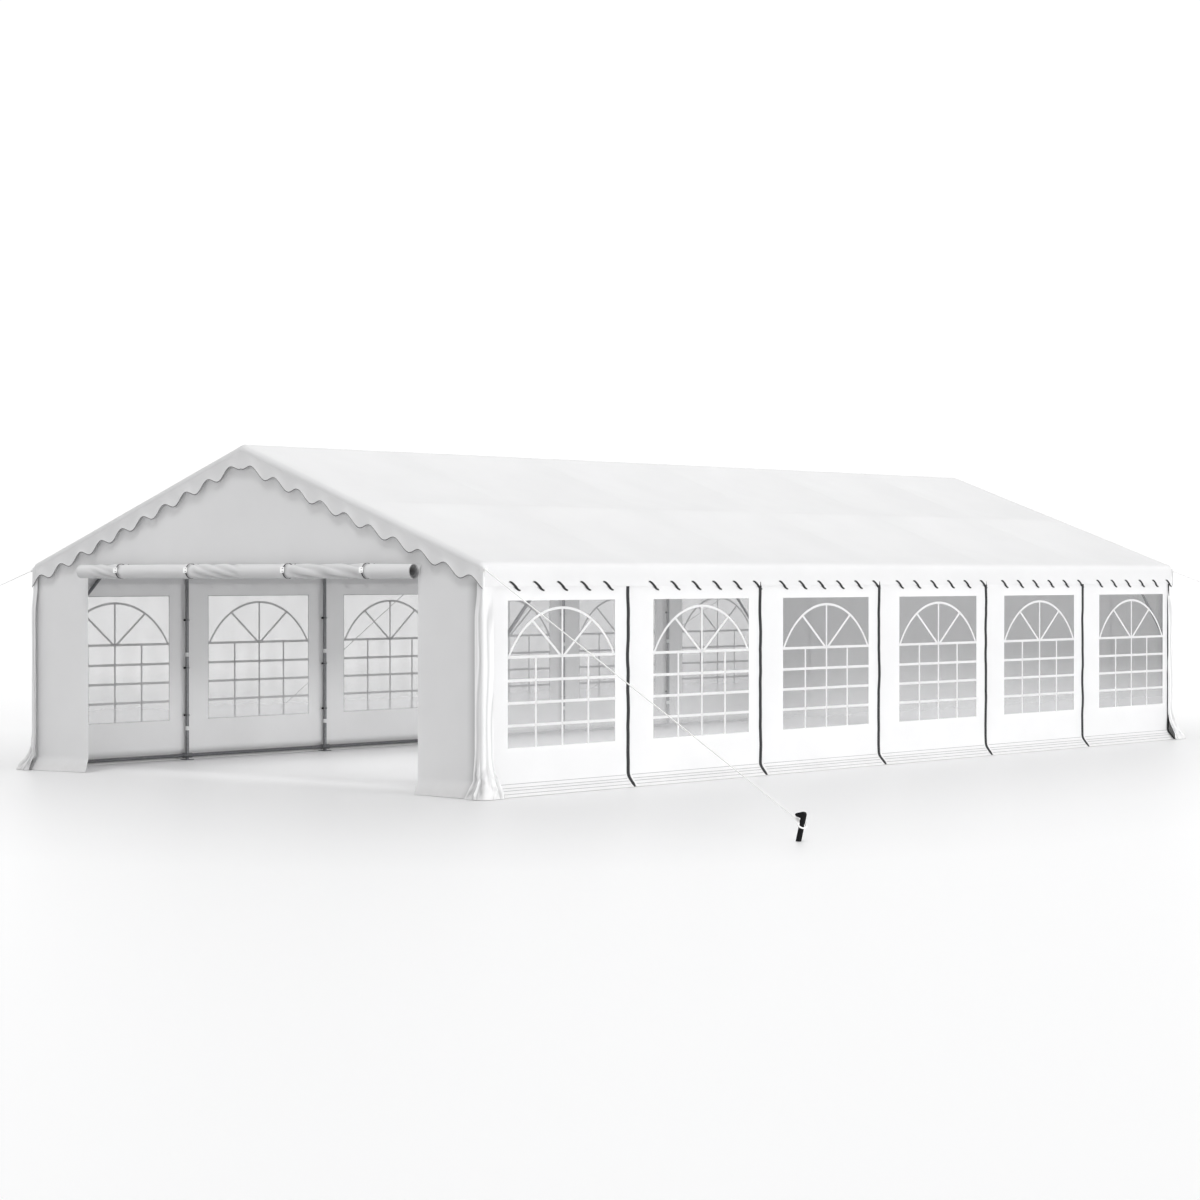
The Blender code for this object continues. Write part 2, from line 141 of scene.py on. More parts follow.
def ripple(x: float, y: float, z: float, size: float, height: float) -> float:
    """The slight unevenness of cloth at a place, with bumps of a size, up to a height."""
    return height * noise.noise(Vector((x, y, z)) / size)


def ease(share: float) -> float:
    """Runs smoothly from 0 to 1 as the share does, and stays there outside."""
    share = min(1.0, max(0.0, share))
    return share * share * (3.0 - 2.0 * share)


def up_and_down(phase: float, rise: float) -> float:
    """Rises smoothly from 0 to 1 over a share of each turn of the phase, and falls over the rest."""
    part = phase - math.floor(phase)
    return ease(part / rise) if part < rise else ease((1.0 - part) / (1.0 - rise))


# Handling of objects


def put_down() -> None:
    """Leaves edit mode and lets go of everything."""
    if bpy.context.object is not None and bpy.context.object.mode != "OBJECT":
        bpy.ops.object.mode_set(mode="OBJECT")
    bpy.ops.object.select_all(action="DESELECT")


def take(*items: Piece) -> None:
    """Selects the objects given, and makes the first of them active."""
    put_down()
    for item in items:
        item.select_set(True)
    bpy.context.view_layer.objects.active = items[0]


@contextmanager
def shaping(piece: Piece) -> Iterator[None]:
    """Opens a piece in edit mode with nothing selected, and closes it again.

    Args:
        piece: The object whose mesh is to be shaped.
    """
    take(piece)
    bpy.ops.object.mode_set(mode="EDIT")
    bpy.ops.mesh.select_all(action="DESELECT")
    yield
    bpy.ops.object.mode_set(mode="OBJECT")


def take_all() -> None:
    """Selects the whole of the mesh that is open in edit mode."""
    bpy.ops.mesh.select_all(action="SELECT")


def turn_outwards() -> None:
    """Turns all the faces of the mesh that is open in edit mode outwards."""
    take_all()
    bpy.ops.mesh.normals_make_consistent(inside=False)


def pick(piece: Piece, kind: Pick, test: Callable[[Vector, Vector], bool]) -> None:
    """Selects those points, edges or faces of the piece in edit mode that pass a test.

    Args:
        piece: The object that is open in edit mode.
        kind: What is to be selected.
        test: Takes the middle of a part and its normal, or an edge's direction.
    """
    bpy.ops.mesh.select_mode(type=kind.value)
    bpy.ops.mesh.select_all(action="DESELECT")
    shape = bmesh.from_edit_mesh(piece.data)
    if kind is Pick.POINTS:
        for point in shape.verts:
            point.select = test(point.co, point.normal)
    elif kind is Pick.EDGES:
        for edge in shape.edges:
            start, end = (point.co for point in edge.verts)
            edge.select = test((start + end) / 2, (end - start).normalized())
    else:
        for face in shape.faces:
            face.select = test(face.calc_center_median(), face.normal)
    shape.select_flush_mode()
    bmesh.update_edit_mesh(piece.data)


def apply(piece: Piece, kind: str, **settings: object) -> None:
    """Gives a piece a modifier and applies it.

    Args:
        piece: The object to change.
        kind: Blender's name for the modifier.
        settings: The modifier's own settings.
    """
    take(piece)
    modifier = piece.modifiers.new(kind.lower(), kind)
    for name, value in settings.items():
        setattr(modifier, name, value)
    bpy.ops.object.modifier_apply(modifier=modifier.name)


def named(piece: Piece, name: str) -> Piece:
    """Names an object and its mesh alike."""
    piece.name = name
    piece.data.name = name
    return piece


def join(name: str, items: list[Piece]) -> Piece:
    """Joins several objects into one of a new name."""
    take(*items)
    bpy.ops.object.join()
    return named(items[0], name)


def copied(piece: Piece, name: str, placing: Matrix) -> Piece:
    """Copies a piece with a mesh of its own, moved by a matrix.

    Args:
        piece: The object to copy.
        name: The copy's name.
        placing: Where the copy goes. A mirror is allowed.

    Returns:
        The copy, at the origin, with its place in its mesh.
    """
    twin = bpy.data.objects.new(name, piece.data.copy())
    bpy.context.scene.collection.objects.link(twin)
    twin.data.transform(placing)
    if placing.to_3x3().determinant() < 0:
        twin.data.flip_normals()
    return named(twin, name)


def mirrored(piece: Piece, name: str, mirror: Mirror) -> Piece:
    """Copies a piece of the front right to another side of the tent."""
    return copied(piece, name, Matrix.Diagonal(mirror.value))


def set_in_place(piece: Piece) -> None:
    """Moves an object's place, turn and size into its mesh."""
    take(piece)
    bpy.ops.object.transform_apply(location=True, rotation=True, scale=True)


def delete(*items: Piece) -> None:
    """Removes pattern pieces that were only there to be copied."""
    for item in items:
        bpy.data.objects.remove(item)


# Lines and flat cuts


class Line:
    """A line in a plane, of straight runs joined by round bends, measured along its length."""

    # The radius of a bend that is given none
    SHARPEST = 1e-4

    def __init__(self, *corners: tuple[float, ...], outside: int = 1) -> None:
        """Lays the line out.

        Args:
            corners: (across, up) of each corner in turn, with the bend's radius after them where it has one.
            outside: 1 if the outer face is on the line's left, -1 if it is on its right.
        """
        self.outside = outside
        self.runs: list[tuple[float, float, Vector, float, float]] = []
        self.length = 0.0
        spots = [Vector(corner[:2]) for corner in corners]
        here = spots[0]
        for before, spot, after, corner in zip(spots, spots[1:], spots[2:], corners[1:]):
            first, second = (spot - before).normalized(), (after - spot).normalized()
            turn = math.atan2(first.x * second.y - first.y * second.x, first.dot(second))
            radius = corner[2] if len(corner) > 2 else self.SHARPEST
            cut = radius * math.tan(abs(turn) / 2)
            heading = math.atan2(first.y, first.x)
            self._add((spot - first * cut - here).length, here, heading, 0.0)
            self._add(radius * abs(turn), spot - first * cut, heading, math.copysign(1 / radius, turn))
            here = spot + second * cut
        last = spots[-1] - here
        self._add(last.length, here, math.atan2(last.y, last.x), 0.0)

    def _add(self, length: float, start: Vector, heading: float, curve: float) -> None:
        """Adds one run, straight or bent."""
        self.runs.append((self.length, length, start, heading, curve))
        self.length += length

    def at(self, distance: float) -> tuple[Vector, Vector]:
        """Finds the place at a distance along the line.

        Args:
            distance: The distance from the start. Beyond the ends the line runs straight on.

        Returns:
            The place, and the direction that points out of the outer face there.
        """
        begin, _length, start, heading, curve = next(
            (run for run in reversed(self.runs) if distance >= run[0]), self.runs[0]
        )
        done = distance - begin
        turned = heading + curve * done
        if curve:
            chord = (math.sin(turned) - math.sin(heading), math.cos(heading) - math.cos(turned))
            step = Vector(chord) / curve
        else:
            step = Vector((math.cos(heading), math.sin(heading))) * done
        out = Vector((-math.sin(turned), math.cos(turned))) * self.outside
        return start + step, out

    def bend_marks(self, step: float) -> list[float]:
        """Finds where a sheet needs an edge so that it can follow the bends.

        Args:
            step: How far apart the edges may be. A shorter bend gets none.

        Returns:
            The distances of those edges from the line's start.
        """
        marks = []
        for begin, length, _start, _heading, curve in self.runs:
            if curve and length > step:
                count = math.ceil(length / step)
                marks += [begin + length * part / count for part in range(count + 1)]
        return marks


@dataclass
class Cut:
    """A rectangle of cloth or film marked out flat, from (0, 0) to (width, length).

    Its edges lie about one spacing apart, or another along the length where spacing_along isn't 0.
    """

    name: str
    width: float
    length: float
    spacing: float = 0.05
    spacing_along: float = 0.0

    def mark_out(self, across: Iterable[float] = (), along: Iterable[float] = ()) -> Piece:
        """Makes the flat sheet as a grid, with edges where seams, hems and bends need them.

        Args:
            across: Where further edges run along the length, as places across the width.
            along: Where further edges run across the width, as places along the length.

        Returns:
            The sheet, whose map is in metres.
        """
        put_down()
        bpy.ops.mesh.primitive_grid_add(
            x_subdivisions=max(1, round(self.width / self.spacing)),
            y_subdivisions=max(1, round(self.length / (self.spacing_along or self.spacing))),
            size=1.0,
            location=(self.width / 2, self.length / 2, 0.0),
        )
        sheet = named(bpy.context.object, self.name)
        sheet.scale = (self.width, self.length, 1.0)
        set_in_place(sheet)
        with shaping(sheet):
            for places, normal in ((across, Vector((1.0, 0.0, 0.0))), (along, Vector((0.0, 1.0, 0.0)))):
                for place in places:
                    take_all()
                    bpy.ops.mesh.bisect(plane_co=normal * place, plane_no=normal, threshold=NEAR)
        chart = sheet.data.uv_layers.active.data
        for corner in sheet.data.loops:
            chart[corner.index].uv = sheet.data.vertices[corner.vertex_index].co.xy
        return sheet


def cut_out(sheet: Piece, low: tuple[float, float], high: tuple[float, float]) -> None:
    """Takes a rectangle out of a flat sheet, along edges that it has there.

    Args:
        sheet: The flat sheet.
        low: The rectangle's corner with the lowest x and y.
        high: The opposite corner.
    """
    with shaping(sheet):
        pick(
            sheet,
            Pick.FACES,
            lambda middle, _n: low[0] < middle.x < high[0] and low[1] < middle.y < high[1],
        )
        bpy.ops.mesh.delete(type="FACE")


def double(sheet: Piece, test: Callable[[float, float], bool]) -> None:
    """Marks where a flat sheet is sewn double, so that it comes out thicker there."""
    group = sheet.vertex_groups.new(name="double")
    chosen = [point.index for point in sheet.data.vertices if test(point.co.x, point.co.y)]
    group.add(chosen, 1.0, "REPLACE")


def lay(sheet: Piece, place: Callable[[float, float, float], Vector]) -> None:
    """Moves each point of a flat piece to where it belongs.

    Args:
        sheet: The flat piece.
        place: Takes the point's place across and along, and its height off the flat.
    """
    for point in sheet.data.vertices:
        point.co = place(*point.co)
    sheet.data.update()


def mark_painted_shade(sheet: Piece, depth: Callable[[float, float], float]) -> None:
    """Marks on a flat sheet how much painted shade each point will get, from 0 to 1, for its finish to
    darken.

    Args:
        sheet: The flat piece, before it is laid.
        depth: Takes the point's place across and along.
    """
    marks = sheet.data.attributes.new(PAINTED_SHADE, "FLOAT", "POINT")
    for point in sheet.data.vertices:
        marks.data[point.index].value = min(1.0, max(0.0, depth(point.co.x, point.co.y)))


def thicken(sheet: Piece, thickness: float) -> None:
    """Gives a laid sheet its thickness, inwards, with its single layers half as thick as its double ones."""
    settings: dict[str, object] = {"thickness": thickness, "offset": -1.0}
    if sheet.vertex_groups:
        settings |= {"vertex_group": "double", "thickness_vertex_group": 0.5}
    apply(sheet, "SOLIDIFY", **settings)


def dress(
    piece: Piece,
    material: Material,
    slot: Slot,
    nodes: Iterable[str] = (),
    smooth: float = 40.0,
) -> Piece:
    """Gives a finished piece its material, shading and place in the frame, and reports it.

    Args:
        piece: The finished object.
        material: Its finish.
        slot: The record's slot that the finish belongs to; it is not used.
        nodes: The solids that the piece stands for.
        smooth: Edges sharper than this many degrees stay sharp.

    Returns:
        The same object.
    """
    piece.data.materials.clear()
    piece.data.materials.append(material)
    take(piece)
    bpy.ops.object.shade_smooth_by_angle(angle=math.radians(smooth))
    put_down()
    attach(piece, BODY)
    if nodes:
        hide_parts(*nodes)
    log.info("%s: %d faces", piece.name, len(piece.data.polygons))
    return piece


def dress_both(piece: Piece, twin: str, material: Material, slot: Slot, smooth: float = 40.0) -> None:
    """Mirrors a piece across the tent under its twin's name, and dresses both."""
    for made in (piece, mirrored(piece, twin, Mirror.ACROSS)):
        dress(made, material, slot, smooth=smooth)


# Materials


class Level:
    """A number that a material works out at each point of a surface, with the usual arithmetic."""

    def __init__(self, bench: "Nodes", socket: Socket) -> None:
        """Wraps a node's output socket."""
        self.bench = bench
        self.socket = socket

    def math(self, operation: str, *values: "Level | float") -> "Level":
        """Adds a Math node that works on the values in their order."""
        made = self.bench.node("ShaderNodeMath", {"operation": operation}, dict(enumerate(values)))
        return Level(self.bench, made.outputs[0])

    def __add__(self, other: "Level | float") -> "Level":
        """Adds."""
        return self.math("ADD", self, other)

    def __radd__(self, other: float) -> "Level":
        """Adds to a plain number."""
        return self.math("ADD", other, self)

    def __sub__(self, other: "Level | float") -> "Level":
        """Subtracts."""
        return self.math("SUBTRACT", self, other)

    def __rsub__(self, other: float) -> "Level":
        """Subtracts from a plain number."""
        return self.math("SUBTRACT", other, self)

    def __mul__(self, other: "Level | float") -> "Level":
        """Multiplies."""
        return self.math("MULTIPLY", self, other)

    def __rmul__(self, other: float) -> "Level":
        """Multiplies a plain number."""
        return self.math("MULTIPLY", other, self)

    def __truediv__(self, other: "Level | float") -> "Level":
        """Divides."""
        return self.math("DIVIDE", self, other)

    def __pow__(self, other: float) -> "Level":
        """Raises to a power."""
        return self.math("POWER", self, other)

    def wave(self) -> "Level":
        """The sine of the number."""
        return self.math("SINE", self)

    def size(self) -> "Level":
        """The number without its sign."""
        return self.math("ABSOLUTE", self)

    def above_zero(self) -> "Level":
        """The number, or 0 where it is negative."""
        return self.math("MAXIMUM", self, 0.0)

    def held(self) -> "Level":
        """The number held between 0 and 1."""
        made = self.bench.node("ShaderNodeClamp", {}, {0: self})
        return Level(self.bench, made.outputs[0])


class Nodes:
    """A tree of shader nodes, and the ways to add to it."""

    def __init__(self, tree: bpy.types.NodeTree) -> None:
        """Takes the tree that is to grow."""
        self.tree = tree

    def feed(self, node: bpy.types.Node, sockets: dict[object, object]) -> None:
        """Fills a node's inputs.

        Args:
            node: The node.
            sockets: A value, a socket or a Level for each input, under its name or number.
        """
        for key, value in sockets.items():
            source = value.socket if isinstance(value, Level) else value
            if isinstance(source, Socket):
                self.tree.links.new(source, node.inputs[key])
            else:
                node.inputs[key].default_value = source

    def node(
        self,
        kind: str,
        settings: dict[str, object] | None = None,
        sockets: dict[object, object] | None = None,
    ) -> bpy.types.Node:
        """Adds a node.

        Args:
            kind: Blender's name for the node.
            settings: The node's own settings, which are set first.
            sockets: What its inputs are fed.

        Returns:
            The node.
        """
        made = self.tree.nodes.new(kind)
        for name, value in (settings or {}).items():
            setattr(made, name, value)
        self.feed(made, sockets or {})
        return made

    def place(self, kind: str) -> Socket:
        """The point's place, as Object coordinates or on the piece's own map (UV)."""
        return self.node("ShaderNodeTexCoord").outputs[kind]

    def parts(self, kind: str) -> tuple[Level, Level, Level]:
        """The point's place as three numbers."""
        split = self.node("ShaderNodeSeparateXYZ", {}, {0: self.place(kind)})
        return tuple(Level(self, split.outputs[part]) for part in range(3))

    def clouds(self, size: float, detail: float = 2.0, kind: str = "Object") -> Level:
        """Soft noise from 0 to 1, with features of about a size in metres."""
        made = self.node(
            "ShaderNodeTexNoise", {}, {"Vector": self.place(kind), "Scale": 1.0 / size, "Detail": detail}
        )
        return Level(self, made.outputs["Fac"])

    def blend(self, share: Level, first: Colour | Socket, second: Colour) -> Socket:
        """Blends two colours.

        Args:
            share: How much of the second shows, from 0 to 1.
            first: A colour, or the socket of one.
            second: A colour.

        Returns:
            The socket of the blended colour.
        """
        base = first if isinstance(first, Socket) else (*first, 1.0)
        made = self.node("ShaderNodeMix", {"data_type": "RGBA"}, {0: share, 6: base, 7: (*second, 1.0)})
        return made.outputs[2]

    def relief(
        self,
        height: Level,
        depth: float,
        strength: float = 1.0,
        under: Socket | None = None,
    ) -> Socket:
        """A Bump node's normal for a height from 0 to 1.

        Args:
            height: The relief.
            depth: How deep it is, in metres.
            strength: How much of it shows.
            under: The normal of a coarser relief that it lies on.

        Returns:
            The socket of the new normal.
        """
        sockets: dict[object, object] = {"Height": height, "Distance": depth, "Strength": strength}
        if under is not None:
            sockets["Normal"] = under
        return self.node("ShaderNodeBump", {}, sockets).outputs["Normal"]


class Bench(Nodes):
    """A new material, made from one Principled shader."""

    def __init__(self, name: str) -> None:
        """Starts a material that holds the shader and nothing else."""
        self.material = bpy.data.materials.new(name)
        self.material.use_nodes = True
        super().__init__(self.material.node_tree)
        self.shader = self.tree.nodes["Principled BSDF"]

    def finish(self, **sockets: object) -> Material:
        """Fills the shader's sockets and hands the material over.

        Args:
            sockets: What each input is fed, under its name with underscores for spaces.

        Returns:
            The material.
        """
        self.feed(self.shader, {name.replace("_", " "): value for name, value in sockets.items()})
        return self.material


@dataclass(frozen=True)
class Tarpaulin:
    """Coated woven cloth: white, with a fine weave, soft packing creases, a little dust at the foot, and
    painted shade where a sheet is marked for it.
    """

    name: str
    shade: Colour = (0.8, 0.8, 0.804)
    worn: Colour = (0.76, 0.76, 0.765)
    dust: Colour = (0.62, 0.61, 0.6)
    worn_patch: float = 0.8
    thread: float = 0.003
    weave_depth: float = 0.0002
    weave_strength: float = 0.35
    crease_size: float = 0.45
    crease_depth: float = 0.004
    crease_strength: float = 0.5
    dust_height: float = 0.14
    dust_patch: float = 0.09
    dust_share: float = 0.7
    smoothest: float = 0.42
    dulling: float = 0.16
    dull_patch: float = 0.25
    gloss: float = 0.3
    glow: float = 0.25
    glow_depth: float = 0.02
    # The colour of painted shade where a sheet is marked for it, or None for none
    painted_shade_colour: Colour | None = None

    def mix(self) -> Material:
        """Makes the material."""
        bench = Bench(self.name)
        turn = 2 * math.pi / self.thread
        across, along, _ = bench.parts("UV")
        weave = (across * turn).wave() * (along * turn).wave() * 0.5 + 0.5
        creases = bench.clouds(self.crease_size, 4.0)
        _, _, height = bench.parts("Object")
        near_ground = (1.0 - height / self.dust_height).held()
        dusty = near_ground * bench.clouds(self.dust_patch, 3.0) * self.dust_share
        worn = (bench.clouds(self.worn_patch, 3.0) * 2.2 - 0.6).held()
        shade = bench.blend(dusty, bench.blend(worn, self.shade, self.worn), self.dust)
        # Painted shade: the marked points are darkened towards the painted shade colour
        if self.painted_shade_colour is not None:
            mark = bench.node("ShaderNodeAttribute", {"attribute_name": PAINTED_SHADE})
            shade = bench.blend(Level(bench, mark.outputs["Fac"]), shade, self.painted_shade_colour)
        soft = bench.relief(creases, self.crease_depth, self.crease_strength)
        return bench.finish(
            Base_Color=shade,
            Roughness=bench.clouds(self.dull_patch) * self.dulling + self.smoothest,
            Specular_IOR_Level=self.gloss,
            Subsurface_Weight=self.glow,
            Subsurface_Radius=(1.0, 1.0, 0.97),
            Subsurface_Scale=self.glow_depth,
            Normal=bench.relief(weave, self.weave_depth, self.weave_strength, soft),
        )


@dataclass(frozen=True)
class ClearFilm:
    """Soft clear film: see-through, faintly milky and slightly wavy, and paler and less clear towards its
    foot as painted light from the bright floor seen through it.
    """

    name: str = "clear_window_film"
    shade: Colour = (0.36, 0.362, 0.37)
    haze: float = 0.2
    haze_change: float = 0.06
    haze_patch: float = 0.35
    streaks_across: float = 19.0
    streaks_along: float = 3.0
    streak_haze: float = 0.03
    streak_depth: float = 0.004
    smoothest: float = 0.08
    dulling: float = 0.1
    # Painted light at the foot: the paler colour and extra haze that stand in for the bright floor seen
    # through the lower panes, and where they start and grow
    painted_foot_light: Colour = (0.64, 0.642, 0.65)
    painted_foot_haze: float = 0.17
    foot_top: float = 0.95
    foot_reach: float = 0.45

    def mix(self) -> Material:
        """Makes the material."""
        bench = Bench(self.name)
        across, along, _ = bench.parts("UV")
        wavy = (across * self.streaks_across + bench.clouds(0.6) * 5.0).wave()
        streaks = wavy * (along * self.streaks_along).wave() * 0.5 + 0.5
        milky = bench.clouds(self.haze_patch, 2.0)
        _, _, height = bench.parts("Object")
        # Painted light: paler and hazier towards the foot
        foot = ((self.foot_top - height) / self.foot_reach).held()
        haze = milky * self.haze_change + streaks * self.streak_haze + foot * self.painted_foot_haze
        return bench.finish(
            Base_Color=bench.blend(foot, self.shade, self.painted_foot_light),
            Roughness=milky * self.dulling + self.smoothest,
            Alpha=haze + (self.haze - self.haze_change / 2),
            Normal=bench.relief(streaks, self.streak_depth, 0.5),
        )


@dataclass(frozen=True)
class Galvanised:
    """Zinc-coated steel: grey, crystalline, dull."""

    name: str = "galvanised_tube"
    dark: Colour = (0.13, 0.133, 0.14)
    light: Colour = (0.25, 0.253, 0.262)
    crystal: float = 0.012
    stain: float = 0.2
    smoothest: float = 0.3

    def mix(self) -> Material:
        """Makes the material."""
        bench = Bench(self.name)
        cells = bench.node(
            "ShaderNodeTexVoronoi", {}, {"Vector": bench.place("Object"), "Scale": 1.0 / self.crystal}
        )
        split = bench.node("ShaderNodeSeparateColor", {}, {0: cells.outputs["Color"]})
        spangle = Level(bench, split.outputs[0])
        stains = bench.clouds(self.stain, 4.0)
        return bench.finish(
            Base_Color=bench.blend(spangle * 0.5 + stains * 0.5, self.dark, self.light),
            Metallic=0.85,
            Roughness=spangle * 0.14 + stains * 0.16 + self.smoothest,
            Normal=bench.relief(stains, 0.001, 0.2),
        )


@dataclass(frozen=True)
class Moulded:
    """Moulded plastic of one colour, with a fine grain and dull scuffs."""

    name: str
    shade: Colour
    scuffed: Colour
    roughness: float = 0.4
    gloss: float = 0.5
    scuff: float = 0.015
    grain: float = 0.0015
    grain_depth: float = 0.0001

    def mix(self) -> Material:
        """Makes the material."""
        bench = Bench(self.name)
        scuffs = (bench.clouds(self.scuff, 5.0) * 3.0 - 1.3).held()
        return bench.finish(
            Base_Color=bench.blend(scuffs, self.shade, self.scuffed),
            Roughness=scuffs * 0.2 + self.roughness,
            Specular_IOR_Level=self.gloss,
            Normal=bench.relief(bench.clouds(self.grain, 1.0), self.grain_depth, 0.3),
        )


@dataclass(frozen=True)
class Webbing:
    """Woven tape, elastic or rope: fine ribs, and a soft, dry surface."""

    name: str
    shade: Colour
    thread: Colour
    rib: float = 0.0016
    depth: float = 0.0002
    roughness: float = 0.75

    def mix(self) -> Material:
        """Makes the material."""
        bench = Bench(self.name)
        x, y, z = bench.parts("Object")
        turn = 2 * math.pi / self.rib
        share = 0.17
        ribs = (x * turn).wave() * share + (y * turn).wave() * share + (z * turn).wave() * share + 0.5
        fibres = bench.clouds(self.rib * 1.5, 3.0)
        return bench.finish(
            Base_Color=bench.blend((ribs * 0.6 + fibres * 0.4).held(), self.thread, self.shade),
            Roughness=fibres * 0.15 + self.roughness,
            Normal=bench.relief(ribs, self.depth, 0.5, bench.relief(fibres, self.depth, 0.4)),
        )


def mixed(finish: Tarpaulin | ClearFilm | Galvanised | Moulded | Webbing) -> Material:
    """A field that holds a finish's material, made when the set of finishes is."""
    return field(default_factory=finish.mix)


@dataclass
class Finishes:
    """All the tent's materials, each made once."""

    # The roof is the same cloth as the walls, given a darker colour as painted shade to tone down the light
    # it gets
    roof: Material = mixed(
        Tarpaulin(
            "roof_tarpaulin",
            (0.75, 0.75, 0.754),
            (0.72, 0.72, 0.724),
            crease_size=0.9,
            crease_depth=0.006,
            glow=0.12,
        )
    )
    wall: Material = mixed(Tarpaulin("wall_tarpaulin"))
    # Painted shade in the valleys of the corner flaps' folds and crumpled feet
    flap: Material = mixed(Tarpaulin("flap_tarpaulin", glow=0.1, painted_shade_colour=(0.4, 0.4, 0.405)))
    # Painted shadow on the gable cloth beside the right corner flap
    gable: Material = mixed(
        Tarpaulin("gable_tarpaulin", crease_depth=0.005, glow=0.2, painted_shade_colour=(0.1, 0.1, 0.103))
    )
    # Painted shade on the door roll: darker underneath, in its folds and inside its open ends
    rolled: Material = mixed(
        Tarpaulin("rolled_tarpaulin", crease_size=0.2, glow=0.0, painted_shade_colour=(0.13, 0.13, 0.135))
    )
    bar: Material = mixed(
        Tarpaulin("white_welded_strip", dust=(0.8, 0.8, 0.8), weave_depth=0.0001, glow=0.3)
    )
    film: Material = mixed(ClearFilm())
    steel: Material = mixed(Galvanised())
    eyelet: Material = mixed(Galvanised("nickel_eyelet", (0.45, 0.45, 0.44), (0.6, 0.6, 0.58), 0.004))
    rope: Material = mixed(Webbing("white_twisted_rope", (0.95, 0.95, 0.945), (0.9, 0.9, 0.89)))
    elastic: Material = mixed(Webbing("black_elastic", (0.008, 0.008, 0.009), (0.025, 0.025, 0.028)))
    # Grey rows that paint the shade of the small grooves along the walls' skirts
    groove_shade: Material = mixed(Webbing("painted_groove_shade", (0.3, 0.3, 0.31), (0.4, 0.4, 0.41)))
    # Dark as painted shadow under the scalloped edges of the gable valances
    shadow_binding: Material = mixed(Webbing("grey_shadow_binding", (0.07, 0.07, 0.075), (0.12, 0.12, 0.125)))
    black: Material = mixed(
        Moulded(
            "black_plastic_moulding", (0.005, 0.005, 0.006), (0.014, 0.014, 0.015), 0.55, gloss=0.12
        )
    )
    white: Material = mixed(
        Moulded("white_plastic_moulding", (0.92, 0.92, 0.92), (0.86, 0.86, 0.85), 0.25)
    )


# The roof and its valances


@dataclass
class RoofCover:
    """One cloth over ridge and rafters, from hem to hem, rounded at the eaves, the ridge and the gables."""

    finish: Material
    eave_bend: float = 0.065
    ridge_bend: float = 0.06
    end_bend: float = 0.045
    end_hem: float = 0.06
    spacing: float = 0.085
    sag: float = 0.045
    sag_power: float = 2.3
    uneven_size: float = 0.7
    unevenness: float = 0.004
    cloth: float = 0.0018
    hem: float = 0.03
    section: Line = field(init=False)
    run: Line = field(init=False)

    def __post_init__(self) -> None:
        """Lays out the cloth's lines across and along the tent."""
        self.section = Line(
            (-HALF_WIDTH, VALANCE_FOOT),
            (-HALF_WIDTH, EAVE, self.eave_bend),
            (0.0, RIDGE, self.ridge_bend),
            (HALF_WIDTH, EAVE, self.eave_bend),
            (HALF_WIDTH, VALANCE_FOOT),
        )
        self.run = Line(
            (-HALF_LENGTH, -self.end_hem),
            (-HALF_LENGTH, 0.0, self.end_bend),
            (HALF_LENGTH, 0.0, self.end_bend),
            (HALF_LENGTH, -self.end_hem),
        )

    def sag_at(self, from_ridge: float, y: float) -> float:
        """Finds how far the cloth hangs below its taut line between the tubes that carry it.

        Args:
            from_ridge: The distance from the ridge down the slope.
            y: The place along the tent.

        Returns:
            The depth, which is 0 over the tubes.
        """
        stops = [0.0, POST_X * STRETCH / 2, POST_X * STRETCH]
        if from_ridge >= stops[-1] or abs(y) >= END_FRAME_Y:
            return 0.0
        depth = self.sag
        for place, tubes in ((from_ridge, stops), (y, FRAME_PLACES)):
            low, high = next(pair for pair in zip(tubes, tubes[1:]) if pair[0] <= place <= pair[1])
            depth *= 1.0 - abs(2.0 * (place - low) / (high - low) - 1.0) ** self.sag_power
        return depth

    def place(self, across: float, along: float, lift: float) -> Vector:
        """Finds where a point of the flat cloth lies on the tent.

        Args:
            across: Its place from the left hem.
            along: Its place from the front hem.
            lift: Its height off the cloth.

        Returns:
            The place.
        """
        middle, _ = self.run.at(along)
        spot, out = self.section.at(across)
        from_ridge = abs(across - self.section.length / 2)
        lift += middle.y - self.sag_at(from_ridge, middle.x)
        if abs(spot.x) < HALF_WIDTH - self.eave_bend:
            lift -= abs(ripple(spot.x, middle.x, 3.0, self.uneven_size, self.unevenness))
        return Vector((spot.x + out.x * lift, middle.x, spot.y + out.y * lift))

    def build(self) -> None:
        """Cuts, hems and lays the cover."""
        width, length = self.section.length, self.run.length
        rafters = [y + length / 2 for y in FRAME_PLACES]
        tubes = [width / 2 + side * POST_X * STRETCH * share for side in (-1, 1) for share in (0.5, 1.0)]
        across = [self.hem, width - self.hem, *tubes, *self.section.bend_marks(TIGHT_STEP)]
        along = [self.hem, length - self.hem, *rafters, *self.run.bend_marks(TIGHT_STEP)]
        sheet = Cut("roof_cover", width, length, self.spacing).mark_out(across, along)
        double(sheet, lambda x, y: min(x, width - x, y, length - y) <= self.hem)
        lay(sheet, self.place)
        thicken(sheet, self.cloth)
        dress(sheet, self.finish, Slot.CLOTH, ("roof_left", "roof_right"))


